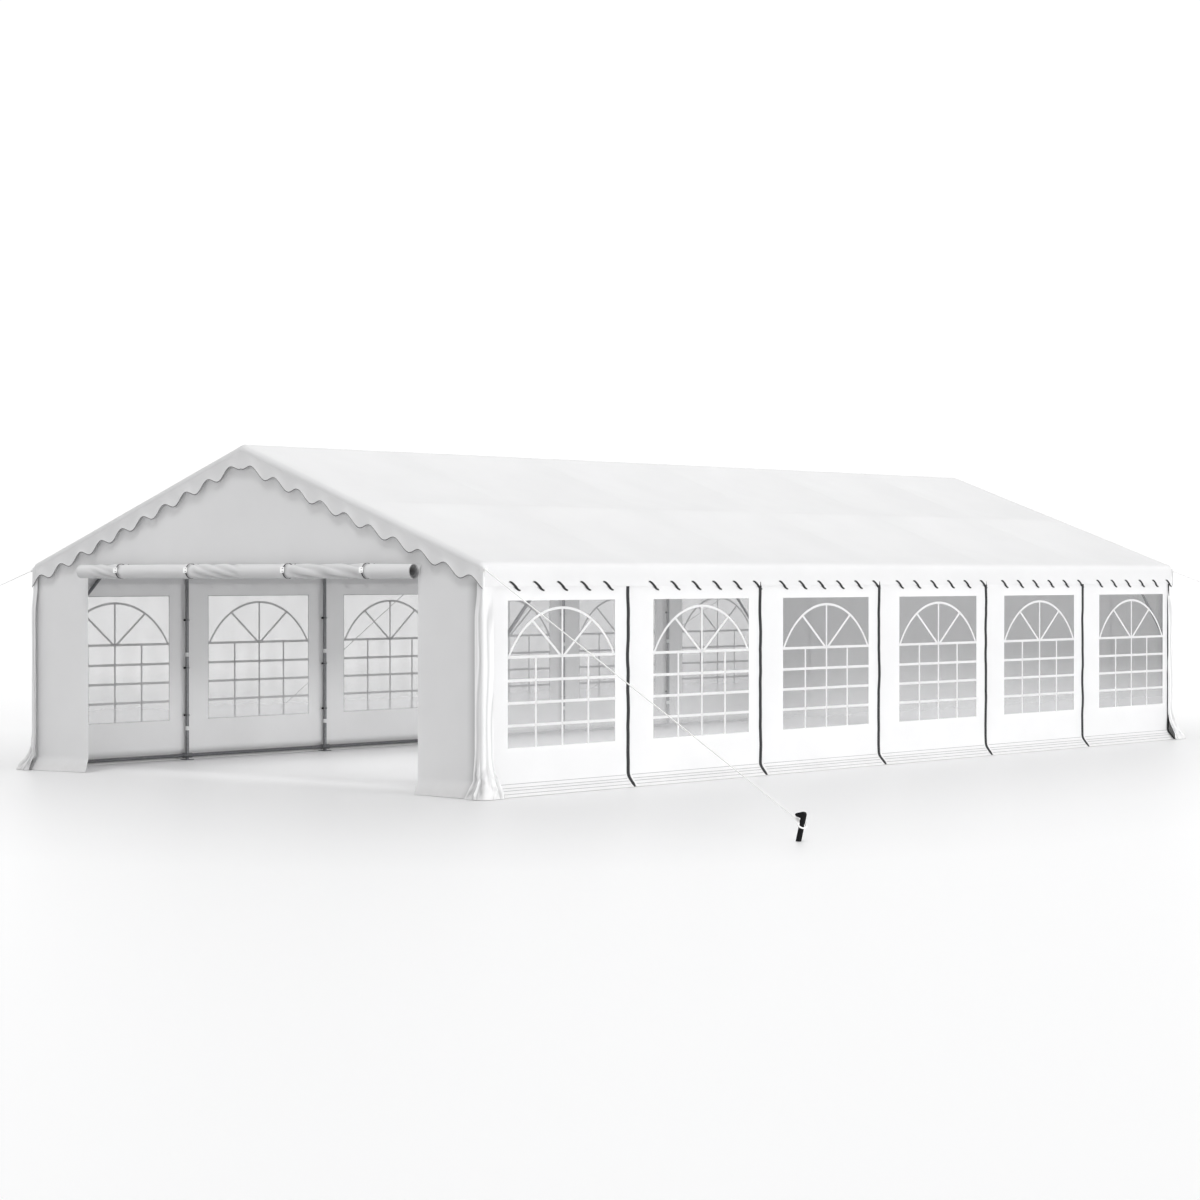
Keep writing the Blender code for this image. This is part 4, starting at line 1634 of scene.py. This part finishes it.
@dataclass
class CornerFlaps:
    """The loose strip round each corner: hung in long, slanting folds, and crumpled at the foot."""

    finish: Material
    front: float = 0.072
    side: float = 0.12
    flare: float = 0.124
    kick_rise: float = 0.17
    kick_power: float = 1.4
    spread_rise: float = 0.36
    spread_power: float = 2.2
    bend: float = 0.014
    spacing: float = 0.005
    rows: float = 0.016
    foot: float = 0.0035
    sewn_above: float = 1.79
    loose_reach: float = 0.25
    folds: float = 2.6
    fold_slant: float = -0.22
    fold_wander: float = 0.3
    fold_rise: float = 0.7
    fold_depth: float = 0.0075
    crumple_rise: float = 0.4
    crumple_depth: float = 0.03
    # How often ridges and small ridges come in the crumpled foot, across and up
    ridges: tuple[float, float] = (8.5, 3.6)
    small_ridges: tuple[float, float] = (19.0, 11.0)
    small_share: float = 0.35
    stand_off: float = 0.008
    edge_lift: float = 0.02
    edge_reach: float = 0.36
    fullness: float = 1.35
    cloth: float = 0.0022

    def fold(self, share: float, height: float) -> float:
        """How far a long fold stands out at a share of the width and a height, from 0 to 1."""
        wander = self.fold_wander * noise.noise(Vector((share * 1.5, height * 1.7, 5.0)))
        phase = (share + self.fold_slant * height + wander) * self.folds
        return up_and_down(phase, self.fold_rise)

    def crumple(self, share: float, height: float) -> float:
        """How far the crumpled foot stands out, from 0 to 1, with sharp ridges that spread downwards."""
        spread = noise.noise(Vector((share * self.ridges[0], height * self.ridges[1], 8.0)))
        small = noise.noise(Vector((share * self.small_ridges[0], height * self.small_ridges[1], 3.0)))
        ridge = (1.0 - min(1.0, abs(2.6 * spread))) ** 1.7
        ridge += self.small_share * (1.0 - min(1.0, abs(2.2 * small)))
        return ridge * ease(1.0 - height / self.crumple_rise)

    def loose(self, height: float) -> float:
        """How free the cloth is to fold at a height, from 0 where it is sewn to 1."""
        return ease((self.sewn_above - height) / self.loose_reach)

    def painted_shade(self, across: float, up: float) -> float:
        """How much painted shade a point of the flat strip gets, from 0 to 1, in the valleys of its long
        folds and of its crumpled foot.
        """
        share, height = across / (self.front + self.side), up + self.foot
        foot = ease(1.0 - height / self.crumple_rise)
        long = self.loose(height) * (1.0 - foot) * (0.5 - 1.4 * self.fold(share, height))
        return long + foot * (1.15 - 2.0 * self.crumple(share, height))

    def place(self, across: float, up: float, lift: float) -> Vector:
        """Finds where a point of the flat strip of the front right corner hangs.

        Args:
            across: Its place from the edge on the gable.
            up: Its place up from the foot.
            lift: Its height off the strip.

        Returns:
            The place.
        """
        height = self.foot + up
        kick = self.flare * max(0.0, 1.0 - height / self.kick_rise) ** self.kick_power
        spread = self.flare * max(0.0, 1.0 - height / self.spread_rise) ** self.spread_power
        x, y = FLAP_X + spread, HALF_LENGTH - LAYER + kick
        front, side = self.front + spread + 0.2 * kick, self.side + kick + 0.2 * spread
        plan = Line((x - front, -y), (x, -y, self.bend + 0.3 * kick), (x, side - y), outside=-1)
        share = across / (self.front + self.side)
        spot, away = plan.at(share * plan.length)
        depth = self.fold_depth * self.fold(share, height) * ease(share / 0.25) + self.stand_off
        depth += self.edge_lift * (1.0 - min(1.0, share / self.edge_reach)) ** 1.5
        depth *= self.loose(height) * (0.3 + 0.7 * ease(height / 0.1))
        depth += self.crumple_depth * self.crumple(share, height) * (0.25 + 0.75 * ease(height / 0.06))
        return Vector((*(spot + away * (depth + lift)), height))

    def build(self) -> None:
        """Makes the front right flap and mirrors it to the other corners."""
        width, length = self.front + self.side, FLAP_TOP - self.foot
        sheet = Cut("front_flap_right", width, length, self.spacing, self.rows).mark_out()
        # Painted shade in the valleys of the folds and the crumpled foot
        mark_painted_shade(sheet, self.painted_shade)
        lay(sheet, self.place)
        thicken(sheet, self.cloth)
        places = (
            ("front", "right", None),
            ("front", "left", Mirror.ACROSS),
            ("rear", "right", Mirror.ALONG),
            ("rear", "left", Mirror.BOTH),
        )
        pieces = [
            sheet if mirror is None else mirrored(sheet, f"{end}_flap_{side}", mirror)
            for end, side, mirror in places
        ]
        # The folds stretch the strip that was marked out, so the cloth that it stands for is wider
        for piece, (end, side, _mirror) in zip(pieces, places):
            dress(piece, self.finish, Slot.CLOTH, (f"{end}_corner_flap_{side}",), smooth=60.0)
            bay = 1 if end == "front" else BAYS


# The rolled-up door


@dataclass
class DoorRoll:
    """The front door cloth, rolled up from its foot, hung from the gable by four straps with buckles."""

    finishes: Finishes
    left: float = ROLL_LOW.x
    right: float = ROLL_HIGH.x
    centre_y: float = (ROLL_LOW.y + ROLL_HIGH.y) / 2
    centre_z: float = (ROLL_LOW.z + ROLL_HIGH.z) / 2
    radius: float = 0.0655
    layer: float = 0.0042
    cloth: float = 0.0016
    tail: float = 0.07
    wound: float = 1.95
    # The inner turns end short of the outer one, and lie drawn in under it
    recess: float = 0.008
    drawn_in: float = 0.0035
    # How dark the painted shade on the inner turns is, seen inside the open ends
    inner_shade: float = 0.75
    ties: tuple[float, ...] = (-1.6, -0.615, 0.68, 1.675)
    # Twisted folds: where they start and end along the roll, their pitch, their slant and their depth
    twists: tuple[tuple[float, ...], ...] = (
        (-2.03, -1.5, 0.2, 0.2, 0.017),
        (-0.62, 0.12, 0.26, 0.21, 0.019),
        (0.66, 1.7, 0.36, 0.26, 0.02),
    )
    twist_fade: float = 0.12
    twist_wander: float = 0.3
    twist_rise: float = 0.72
    twist_sink: float = 0.75
    pinch_depth: float = 0.009
    pinch_width: float = 0.024
    bulge_height: float = 0.003
    bulge_place: float = 0.06
    bulge_width: float = 0.03
    round_fade: float = 0.6
    spacing: float = 0.018
    spacing_round: float = 0.0125
    strap_width: float = 0.012
    strap_thickness: float = 0.0022
    strap_spacing: float = 0.011
    strap_lift: float = 0.004
    strap_tail: float = 0.05
    strap_start: float = 1.78 * math.pi
    strap_reach: float = 1.75 * math.pi
    buckle_width: float = 0.038
    buckle_height: float = 0.052
    buckle_rim: float = 0.0095
    buckle_thickness: float = 0.0075
    buckle_edge: float = 0.0018
    buckle_taper: float = 0.88
    buckle_lift: float = 0.012
    buckle_turn: float = math.radians(32.0)
    buckle_tilt: float = math.radians(-14.0)

    def angle(self, distance: float) -> float:
        """How far round the roll a distance along the wound cloth reaches, from the back downwards."""
        shrink = self.radius**2 - self.layer * distance / math.pi
        return (self.radius - math.sqrt(max(shrink, 0.0))) * 2 * math.pi / self.layer

    def relief(self, x: float, angle: float) -> float:
        """Finds how far each turn of the cloth stands off its round form.

        Args:
            x: The place along the roll.
            angle: The place round it, from the back downwards.

        Returns:
            The height, which is below 0 in a fold.
        """
        angle %= 2 * math.pi
        from_top = 1.5 * math.pi - angle
        depth = ripple(x, angle, 1.0, 0.5, 0.0025)
        for start, end, pitch, slant, dent in self.twists:
            inside = ease((x - start) / self.twist_fade) * ease((end - x) / self.twist_fade)
            wander = self.twist_wander * noise.noise(Vector((x * 3.0, angle, 4.0)))
            phase = (x - start - slant * from_top) / pitch + wander
            depth += inside * dent * (up_and_down(phase, self.twist_rise) - self.twist_sink)
        for tie in self.ties:
            off = abs(x - tie)
            depth -= self.pinch_depth * math.exp(-((off / self.pinch_width) ** 2))
            depth += self.bulge_height * math.exp(-(((off - self.bulge_place) / self.bulge_width) ** 2))
        return depth * ease(angle / self.round_fade) * ease((2 * math.pi - angle) / self.round_fade)

    def painted_shade(self, along: float, down: float) -> float:
        """How much painted shade a point of the flat cloth gets, from 0 to 1: under the roll, in its folds,
        and on the inner turns seen at its open ends.
        """
        angle = self.angle(max(0.0, down - self.tail))
        # Painted shade, darker towards the roll's underside
        underside_shade = 0.5 + 0.5 * math.sin(angle)
        # Painted shade on the inner turns, seen inside the open ends
        hidden = self.inner_shade * ease((angle - 1.8 * math.pi) / 1.2)
        return max(hidden, 0.42 * underside_shade**1.5 - 11.0 * self.relief(self.left + along, angle))

    def place(self, along: float, down: float, lift: float) -> Vector:
        """Finds where a point of the flat cloth ends up: on the tail that hangs from the gable, or wound up.

        Args:
            along: Its place from the roll's left end.
            down: Its place down from the gable.
            lift: Its height off the cloth.

        Returns:
            The place.
        """
        x = self.left + along
        middle = (self.left + self.right) / 2
        hidden = ease(self.angle(max(0.0, down - self.tail)) / 6.0 - 1.2)
        x = middle + (x - middle) * (1.0 - self.recess * hidden)
        if down < self.tail:
            share = 1.0 - down / self.tail
            back = self.centre_y + self.radius
            rear = back + (-GABLE_Y - 0.002 - back) * ease(share)
            return Vector((x, rear, self.centre_z + self.tail - down))
        angle = self.angle(down - self.tail)
        radius = self.radius - self.layer * angle / (2 * math.pi) + lift
        inner = ease((angle - 1.5 * math.pi) / (0.9 * math.pi))
        loose = ripple(x * 4.0, angle * 0.5, 2.0, 0.6, 0.0012) - self.drawn_in
        radius += self.relief(x, angle) + inner * loose
        return self.around(x, angle, radius)

    def around(self, x: float, angle: float, radius: float) -> Vector:
        """The place at an angle round the roll's middle line, from the back downwards."""
        y, z = self.centre_y + radius * math.cos(angle), self.centre_z - radius * math.sin(angle)
        return Vector((x, y, z))

    def strap(self, x: float) -> Piece:
        """Makes a narrow strap round the roll, whose end goes up to the gable.

        Args:
            x: Its place along the roll.

        Returns:
            The strap.
        """
        radius, tail = self.radius - 0.0005, self.strap_tail
        length = self.strap_reach * radius + tail
        flat = Cut("strap", self.strap_width, length, self.strap_spacing).mark_out()

        def place(across: float, along: float, lift: float) -> Vector:
            """Winds the strap over the top, down the front and under the roll."""
            off = x - self.strap_width / 2 + across
            out = radius + self.strap_lift + lift
            if along < tail:
                goal = Vector((off, -GABLE_Y - 0.004, self.centre_z + 0.066))
                return self.around(off, self.strap_start, out).lerp(goal, 1.0 - along / tail)
            out += 0.002 * math.cos(along * 9.0)
            return self.around(off, self.strap_start - (along - tail) / radius, out)

        lay(flat, place)
        thicken(flat, self.strap_thickness)
        with shaping(flat):
            turn_outwards()
        return flat

    def buckle(self) -> Piece:
        """A ladder buckle in the XZ plane at the origin: a rim with one bar across."""
        put_down()
        bpy.ops.mesh.primitive_grid_add(
            x_subdivisions=1, y_subdivisions=2, size=1.0, rotation=(math.pi / 2, 0.0, 0.0)
        )
        made = named(bpy.context.object, "buckle")
        made.scale = (self.buckle_width, self.buckle_height, 1.0)
        set_in_place(made)
        with shaping(made):
            take_all()
            bpy.ops.mesh.inset(thickness=self.buckle_rim, use_individual=True)
            bpy.ops.mesh.delete(type="FACE")
        apply(made, "SOLIDIFY", thickness=self.buckle_thickness, offset=0.0)
        with shaping(made):
            pick(made, Pick.EDGES, lambda middle, _way: abs(middle.z) > self.buckle_height * 0.45)
            bpy.ops.transform.resize(value=(self.buckle_taper, 1.0, 1.0))
        apply(made, "BEVEL", width=self.buckle_edge, segments=2)
        return made

    def build(self) -> None:
        """Rolls the cloth up, and ties it."""
        width, length = self.right - self.left, self.tail + self.wound
        sheet = Cut("rolled_door", width, length, self.spacing, self.spacing_round).mark_out()
        # Painted shade: under the roll, in its folds and inside its open ends
        mark_painted_shade(sheet, self.painted_shade)
        lay(sheet, self.place)
        sheet.data.flip_normals()
        thicken(sheet, self.cloth)
        dress(sheet, self.finishes.rolled, Slot.CLOTH, ("front_door_roll",), smooth=75.0)
        straps = [self.strap(x) for x in self.ties]
        pattern = self.buckle()
        tilt = Matrix.Rotation(self.buckle_turn, 4, "Z") @ Matrix.Rotation(self.buckle_tilt, 4, "X")
        front = self.centre_y - (self.radius + self.buckle_lift)
        height = self.centre_z + self.buckle_lift
        buckles = [
            copied(pattern, "buckle", Matrix.Translation((x, front, height)) @ tilt) for x in self.ties
        ]
        delete(pattern)
        tied = dress(join("roll_straps", straps), self.finishes.elastic, Slot.PLASTIC, smooth=60.0)
        held = dress(join("roll_buckles", buckles), self.finishes.white, Slot.CLOTH, smooth=50.0)


# The frame's fittings


@dataclass
class PostFittings:
    """What ties the walls to the posts: elastic loops with ball ends, and white straps."""

    finishes: Finishes
    toggle_heights: tuple[float, ...] = (1.449, 0.953, 0.464)
    strap_heights: tuple[float, ...] = (1.09, 0.326)
    ball_radius: float = 0.0115
    ball_shift: float = 0.036
    neck_length: float = 0.006
    cord_radius: float = 0.0028
    loop_draw: float = 1.18
    strap_height: float = 0.042
    strap_thickness: float = 0.0018
    strap_gap: float = 0.0022

    def ball(self) -> Piece:
        """A ball with a short neck towards the post, at the origin, its neck along -Y."""
        put_down()
        bpy.ops.mesh.primitive_uv_sphere_add(
            segments=16, ring_count=10, radius=self.ball_radius, rotation=(math.pi / 2, 0.0, 0.0)
        )
        made = named(bpy.context.object, "ball")
        set_in_place(made)
        with shaping(made):
            pick(made, Pick.FACES, lambda middle, _n: middle.y < -self.ball_radius * 0.88)
            bpy.ops.mesh.extrude_region_move(TRANSFORM_OT_translate={"value": (0.0, -self.neck_length, 0.0)})
            bpy.ops.transform.resize(value=(0.8, 1.0, 0.8))
        return made

    def loop(self) -> Piece:
        """The elastic round a post, at the origin, drawn out towards the balls."""
        put_down()
        bpy.ops.mesh.primitive_torus_add(
            major_radius=POST_RADIUS + self.cord_radius,
            minor_radius=self.cord_radius,
            major_segments=28,
            minor_segments=8,
        )
        made = named(bpy.context.object, "loop")
        with shaping(made):
            pick(made, Pick.POINTS, lambda place, _n: abs(place.y) > POST_RADIUS * 0.7)
            bpy.ops.transform.resize(value=(1.0, self.loop_draw, 1.0))
        return made

    def strap(self) -> Piece:
        """A band round a post, at the origin, whose free end sticks out."""
        put_down()
        bpy.ops.mesh.primitive_cylinder_add(
            vertices=28,
            radius=POST_RADIUS + self.strap_gap,
            depth=self.strap_height,
            end_fill_type="NOTHING",
        )
        made = named(bpy.context.object, "strap")
        with shaping(made):
            pick(made, Pick.FACES, lambda middle, _n: middle.y > POST_RADIUS * 0.9)
            bpy.ops.mesh.delete(type="FACE")
            # The free end grows from the upright edge on the outer side of the gap
            pick(
                made,
                Pick.EDGES,
                lambda middle, way: abs(way.z) > 0.9 and middle.y > POST_RADIUS * 0.9 and middle.x > 0,
            )
            bpy.ops.mesh.extrude_edges_move(TRANSFORM_OT_translate={"value": (0.002, 0.016, 0.0)})
            bpy.ops.mesh.extrude_edges_move(TRANSFORM_OT_translate={"value": (0.006, 0.012, 0.0)})
        apply(made, "SOLIDIFY", thickness=self.strap_thickness, offset=1.0)
        return made

    def build(self) -> None:
        """Fits every post of both sides."""
        ball, loop, strap = self.ball(), self.loop(), self.strap()
        away = Matrix.Translation((0.0, self.ball_shift, 0.0))
        near = Matrix.Rotation(math.pi, 4, "Z") @ away
        black, white, straps = [], [], []
        for y in FRAME_PLACES:
            for height in self.toggle_heights:
                spot = Matrix.Translation((POST_X, y, height))
                black.append(copied(loop, "loop", spot))
                if y > FRAME_PLACES[0]:
                    black.append(copied(ball, "ball", spot @ near))
                if y < FRAME_PLACES[-1]:
                    white.append(copied(ball, "ball", spot @ away))
            for height in self.strap_heights:
                straps.append(copied(strap, "strap", Matrix.Translation((POST_X, y, height))))
        delete(ball, loop, strap)
        for kind, parts, material, slot in (
            ("black_toggles", black, self.finishes.black, Slot.PLASTIC),
            ("white_toggles", white, self.finishes.white, Slot.CLOTH),
            ("post_straps", straps, self.finishes.wall, Slot.CLOTH),
        ):
            dress_both(join(f"right_{kind}", parts), f"left_{kind}", material, slot)


def finish_frame(steel: Material) -> None:
    """Gives the tubes of the frame their galvanised finish."""
    for name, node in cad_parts.items():
        if any(word in name for word in ("portal_frame", "rail", "purlin")):
            node.data.materials.clear()
            node.data.materials.append(steel)
            log.info("%s: finished as it stands", name)


# Ropes and pegs


@dataclass
class GuyRopes:
    """The twisted ropes from the eaves to the pegs, with their knots and loops, and the pegs."""

    finishes: Finishes
    radius: float = 0.006
    strand_depth: float = 0.14
    lay: float = 0.042
    # Where the ropes leave the valance and where their pegs stand, at the corner and at the middle
    anchor: tuple[float, float, float] = (HALF_WIDTH + 0.001, -(HALF_LENGTH - 0.02), 1.965)
    spot: tuple[float, float, float] = (7.37, -7.445, 0.0)
    middle_anchor: tuple[float, float, float] = (HALF_WIDTH + 0.001, -0.3, 1.965)
    middle_spot: tuple[float, float, float] = (5.7, -0.3, 0.0)
    loop_radius: float = 0.033
    loop_tilt: float = math.radians(44.0)
    # Where the turns of the knots lie, from the peg's loop and from the valance, and their size
    peg_knots: tuple[float, ...] = (0.018, 0.027, 0.036)
    valance_knots: tuple[float, ...] = (0.02, 0.029)
    knot_radius: float = 1.35
    knot_thickness: float = 0.85
    knot_rise: float = 0.35
    # The peg's lean and the height of its neck, and the rim, the recess and the edges of its faces
    lean: float = math.radians(14.0)
    neck: float = 0.125
    rim: float = 0.0045
    recess_wall: float = 0.0012
    recess_depth: float = 0.0025
    peg_edge: float = 0.0016

    def straight_rope(self, length: float) -> Piece:
        """Makes a three-strand rope up the z axis from the origin.

        Args:
            length: How long it is.

        Returns:
            The rope, with closed ends.
        """
        put_down()
        bpy.ops.mesh.primitive_circle_add(vertices=12, radius=self.radius)
        made = named(bpy.context.object, "rope")
        for point in made.data.vertices:
            angle = math.atan2(point.co.y, point.co.x)
            point.co *= 1.0 - self.strand_depth * (1.0 - math.cos(3 * angle))
        turns = max(1, round(length / self.lay))
        winding = {"screw_offset": length / turns, "iterations": turns, "steps": 6, "render_steps": 6}
        apply(made, "SCREW", **winding, use_smooth_shade=True)
        with shaping(made):
            bpy.ops.mesh.select_mode(type=Pick.EDGES.value)
            take_all()
            bpy.ops.mesh.remove_doubles(threshold=1e-5)
            bpy.ops.mesh.select_all(action="DESELECT")
            bpy.ops.mesh.select_non_manifold()
            bpy.ops.mesh.edge_face_add()
            turn_outwards()
        return made

    def ring(self, major: float, minor: float) -> Piece:
        """Makes one round turn of rope about the z axis, at the origin.

        Args:
            major: The turn's radius.
            minor: The rope's radius.

        Returns:
            The turn.
        """
        put_down()
        bpy.ops.mesh.primitive_torus_add(
            major_radius=major, minor_radius=minor, major_segments=24, minor_segments=10
        )
        made = named(bpy.context.object, "turn")
        with shaping(made):
            pick(made, Pick.POINTS, lambda place, _n: place.x > 0)
            bpy.ops.transform.translate(value=(0.0, 0.0, minor * self.knot_rise))
        return made

    def rope(self, name: str, anchor: Vector, spot: Vector) -> Piece:
        """A rope from its eyelet to the loop round the neck of its peg.

        Args:
            name: The piece's name.
            anchor: Where it leaves the valance.
            spot: Where its peg stands.

        Returns:
            The rope, its knots and its loop, joined.
        """
        centre = spot + Vector((math.sin(self.lean), 0.0, math.cos(self.lean))) * self.neck
        outwards = Vector((spot.x - anchor.x, spot.y - anchor.y, 0.0)).normalized()
        upright, level = Vector((0.0, 0.0, 1.0)), math.cos(self.loop_tilt)
        axis = upright * level + outwards * math.sin(self.loop_tilt)
        start = centre + (upright * math.sin(self.loop_tilt) - outwards * level) * self.loop_radius
        way = anchor - start
        turn = way.to_track_quat("Z", "Y").to_matrix().to_4x4()
        parts = [self.straight_rope(way.length)]
        parts[0].data.transform(Matrix.Translation(start) @ turn)
        loop = self.ring(self.loop_radius, self.radius)
        loop.data.transform(Matrix.Translation(centre) @ axis.to_track_quat("Z", "Y").to_matrix().to_4x4())
        parts.append(loop)
        for distance in (*self.peg_knots, *(way.length - back for back in self.valance_knots)):
            knot = self.ring(self.radius * self.knot_radius, self.radius * self.knot_thickness)
            knot.data.transform(Matrix.Translation(start) @ turn @ Matrix.Translation((0.0, 0.0, distance)))
            parts.append(knot)
        return join(name, parts)

    def peg(self, node: str, name: str) -> Piece:
        """A moulded peg with a rim round a shallow recess on each side, from its solid.

        Args:
            node: The solid, whose shape is kept.
            name: The piece's name.

        Returns:
            The peg.
        """
        made = copied(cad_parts[node], name, Matrix.Identity(4))
        with shaping(made):
            take_all()
            bpy.ops.mesh.remove_doubles(threshold=1e-5)
            take_all()
            bpy.ops.mesh.dissolve_limited(angle_limit=math.radians(1.0))
            pick(made, Pick.FACES, lambda _m, normal: abs(normal.y) > 0.9)
            bpy.ops.mesh.inset(thickness=self.rim, depth=0.0)
            bpy.ops.mesh.inset(thickness=self.recess_wall, depth=-self.recess_depth)
        sharp = {"limit_method": "ANGLE", "angle_limit": math.radians(35.0)}
        apply(made, "BEVEL", width=self.peg_edge, segments=2, **sharp)
        return made

    def build(self) -> None:
        """Makes the ropes and pegs of the corners, and those at the middle of the left side."""
        corner = self.rope("guy_front_right", Vector(self.anchor), Vector(self.spot))
        middle = self.rope("guy_middle_right", Vector(self.middle_anchor), Vector(self.middle_spot))
        ropes = {"front_right": corner}
        for place, pattern, mirror in (
            ("front_left", corner, Mirror.ACROSS),
            ("rear_right", corner, Mirror.ALONG),
            ("rear_left", corner, Mirror.BOTH),
            ("middle_left", middle, Mirror.ACROSS),
        ):
            ropes[place] = mirrored(pattern, f"guy_{place}", mirror)
        delete(middle)
        for place, piece in ropes.items():
            dress(piece, self.finishes.rope, Slot.ROPE, (f"guy_rope_{place}",), smooth=60.0)
        for place in ropes:
            made = self.peg(f"peg_{place}", f"ground_peg_{place}")
            dress(made, self.finishes.black, Slot.PLASTIC, (f"peg_{place}",), smooth=50.0)


# The studio


@dataclass(frozen=True)
class Lamp:
    """A far lamp: its strength, where it shines from, and how wide it looks, in degrees."""

    name: str
    strength: float
    origin: tuple[float, float, float]
    softness: float

    def hang(self) -> None:
        """Puts the lamp in the scene."""
        data = bpy.data.lights.new(self.name, "SUN")
        data.energy = self.strength
        data.angle = math.radians(self.softness)
        lamp = bpy.data.objects.new(self.name, data)
        lamp.matrix_world = Vector(self.origin).to_track_quat("Z", "Y").to_matrix().to_4x4()
        bpy.context.scene.collection.objects.link(lamp)


@dataclass
class Studio:
    """A pale floor with a painted shadow round the tent, soft light from all round, two far lamps, one
    inside the tent, and the camera.
    """

    inside_power: float = 125.0
    inside_size: tuple[float, float] = (4.3, 10.8)
    inside_height: float = 1.05
    camera_place: tuple[float, float, float] = (19.671, -24.369, 1.914)
    camera_turn: float = 39.922
    camera_tilt: float = -0.489
    lens: float = 87.15
    sensor: float = 36.0
    floor_half: float = 400.0
    floor_level: float = -0.0015
    # The floor's colour in the painted shadow beside the tent, its colour far off, and how far the shadow
    # reaches
    floor_shadow_colour: Colour = (0.79, 0.79, 0.793)
    floor_far: Colour = (0.98, 0.98, 0.984)
    floor_shadow_reach: float = 6.0
    floor_sheen: float = 0.5
    floor_roughness: float = 0.45
    sky_low: float = 0.44
    sky_rise: float = 0.16
    backdrop: float = 1.05
    mirrored: float = 1.3
    lamps: tuple[Lamp, ...] = (
        Lamp("side", 2.2, (0.99, 0.05, 0.11), 24.0),
        Lamp("top", 1.0, (0.2, -0.42, 0.88), 14.0),
    )

    def build(self) -> None:
        """Sets the scene up."""
        self.floor()
        self.light()
        self.inside_lamp()
        self.camera()

    def floor(self) -> None:
        """The floor, just below everything that stands on it, with a painted shadow that makes it darker
        near the tent.
        """
        put_down()
        bpy.ops.mesh.primitive_plane_add(size=2 * self.floor_half, location=(0.0, 0.0, self.floor_level))
        floor = named(bpy.context.object, "floor")
        bench = Bench("pale_floor")
        across, along, _ = bench.parts("Object")
        # Painted shadow: darker near the tent, paler further off
        beside = (across.size() - HALF_WIDTH).above_zero()
        beyond = (along.size() - HALF_LENGTH).above_zero()
        far = ((beside * beside + beyond * beyond) ** 0.5 / self.floor_shadow_reach).held()
        shade = bench.blend(far, self.floor_shadow_colour, self.floor_far)
        sheen = {"Roughness": self.floor_roughness, "Specular_IOR_Level": self.floor_sheen}
        floor.data.materials.append(bench.finish(Base_Color=shade, **sheen))

    def light(self) -> None:
        """The dome of light, brighter overhead, which shows white behind the tent, and the far lamps."""
        world = bpy.data.worlds.new("soft_dome")
        bpy.context.scene.world = world
        world.use_nodes = True
        sky = Nodes(world.node_tree)
        _, _, height = sky.parts("Generated")
        rays = sky.node("ShaderNodeLightPath")
        seen, mirrored = (Level(sky, rays.outputs[name]) for name in ("Is Camera Ray", "Is Glossy Ray"))
        lit = height.held() * self.sky_rise + self.sky_low
        strength = (1.0 - seen - mirrored) * lit + seen * self.backdrop + mirrored * self.mirrored
        background = {"Color": (1.0, 1.0, 1.0, 1.0), "Strength": strength}
        sky.feed(world.node_tree.nodes["Background"], background)
        for lamp in self.lamps:
            lamp.hang()

    def inside_lamp(self) -> None:
        """The wide lamp inside the tent, which lights the cloth from below and isn't seen itself."""
        data = bpy.data.lights.new("inside", "AREA")
        data.shape = "RECTANGLE"
        data.size, data.size_y = self.inside_size
        data.energy = self.inside_power
        panel = bpy.data.objects.new("inside", data)
        panel.location = (0.0, 0.0, self.inside_height)
        panel.visible_camera = False
        panel.visible_glossy = False
        bpy.context.scene.collection.objects.link(panel)

    def camera(self) -> None:
        """The camera, at eye level to the right of the open gable."""
        data = bpy.data.cameras.new("camera")
        data.lens = self.lens
        data.sensor_width = self.sensor
        data.clip_end = 1000.0
        eye = bpy.data.objects.new("camera", data)
        eye.location = self.camera_place
        eye.rotation_euler = (math.radians(90.0 + self.camera_tilt), 0.0, math.radians(self.camera_turn))
        bpy.context.scene.collection.objects.link(eye)
        bpy.context.scene.camera = eye
        bpy.context.scene.view_settings.view_transform = "Standard"


def main() -> None:
    """Dresses the tent from the roof down, and sets up the studio."""
    logging.basicConfig(level=logging.INFO, format="%(message)s")
    put_down()
    finishes = Finishes()
    Studio().build()
    finish_frame(finishes.steel)
    RoofCover(finishes.roof).build()
    GableValance(finishes.gable, finishes.shadow_binding).build()
    GableWalls(finishes).build()
    SideWalls(finishes).build()
    Lacing(finishes).build()
    CornerFlaps(finishes.flap).build()
    RearDoor(finishes).build()
    DoorRoll(finishes).build()
    PostFittings(finishes).build()
    GuyRopes(finishes).build()
    put_down()


if __name__ == "__main__":
    main()
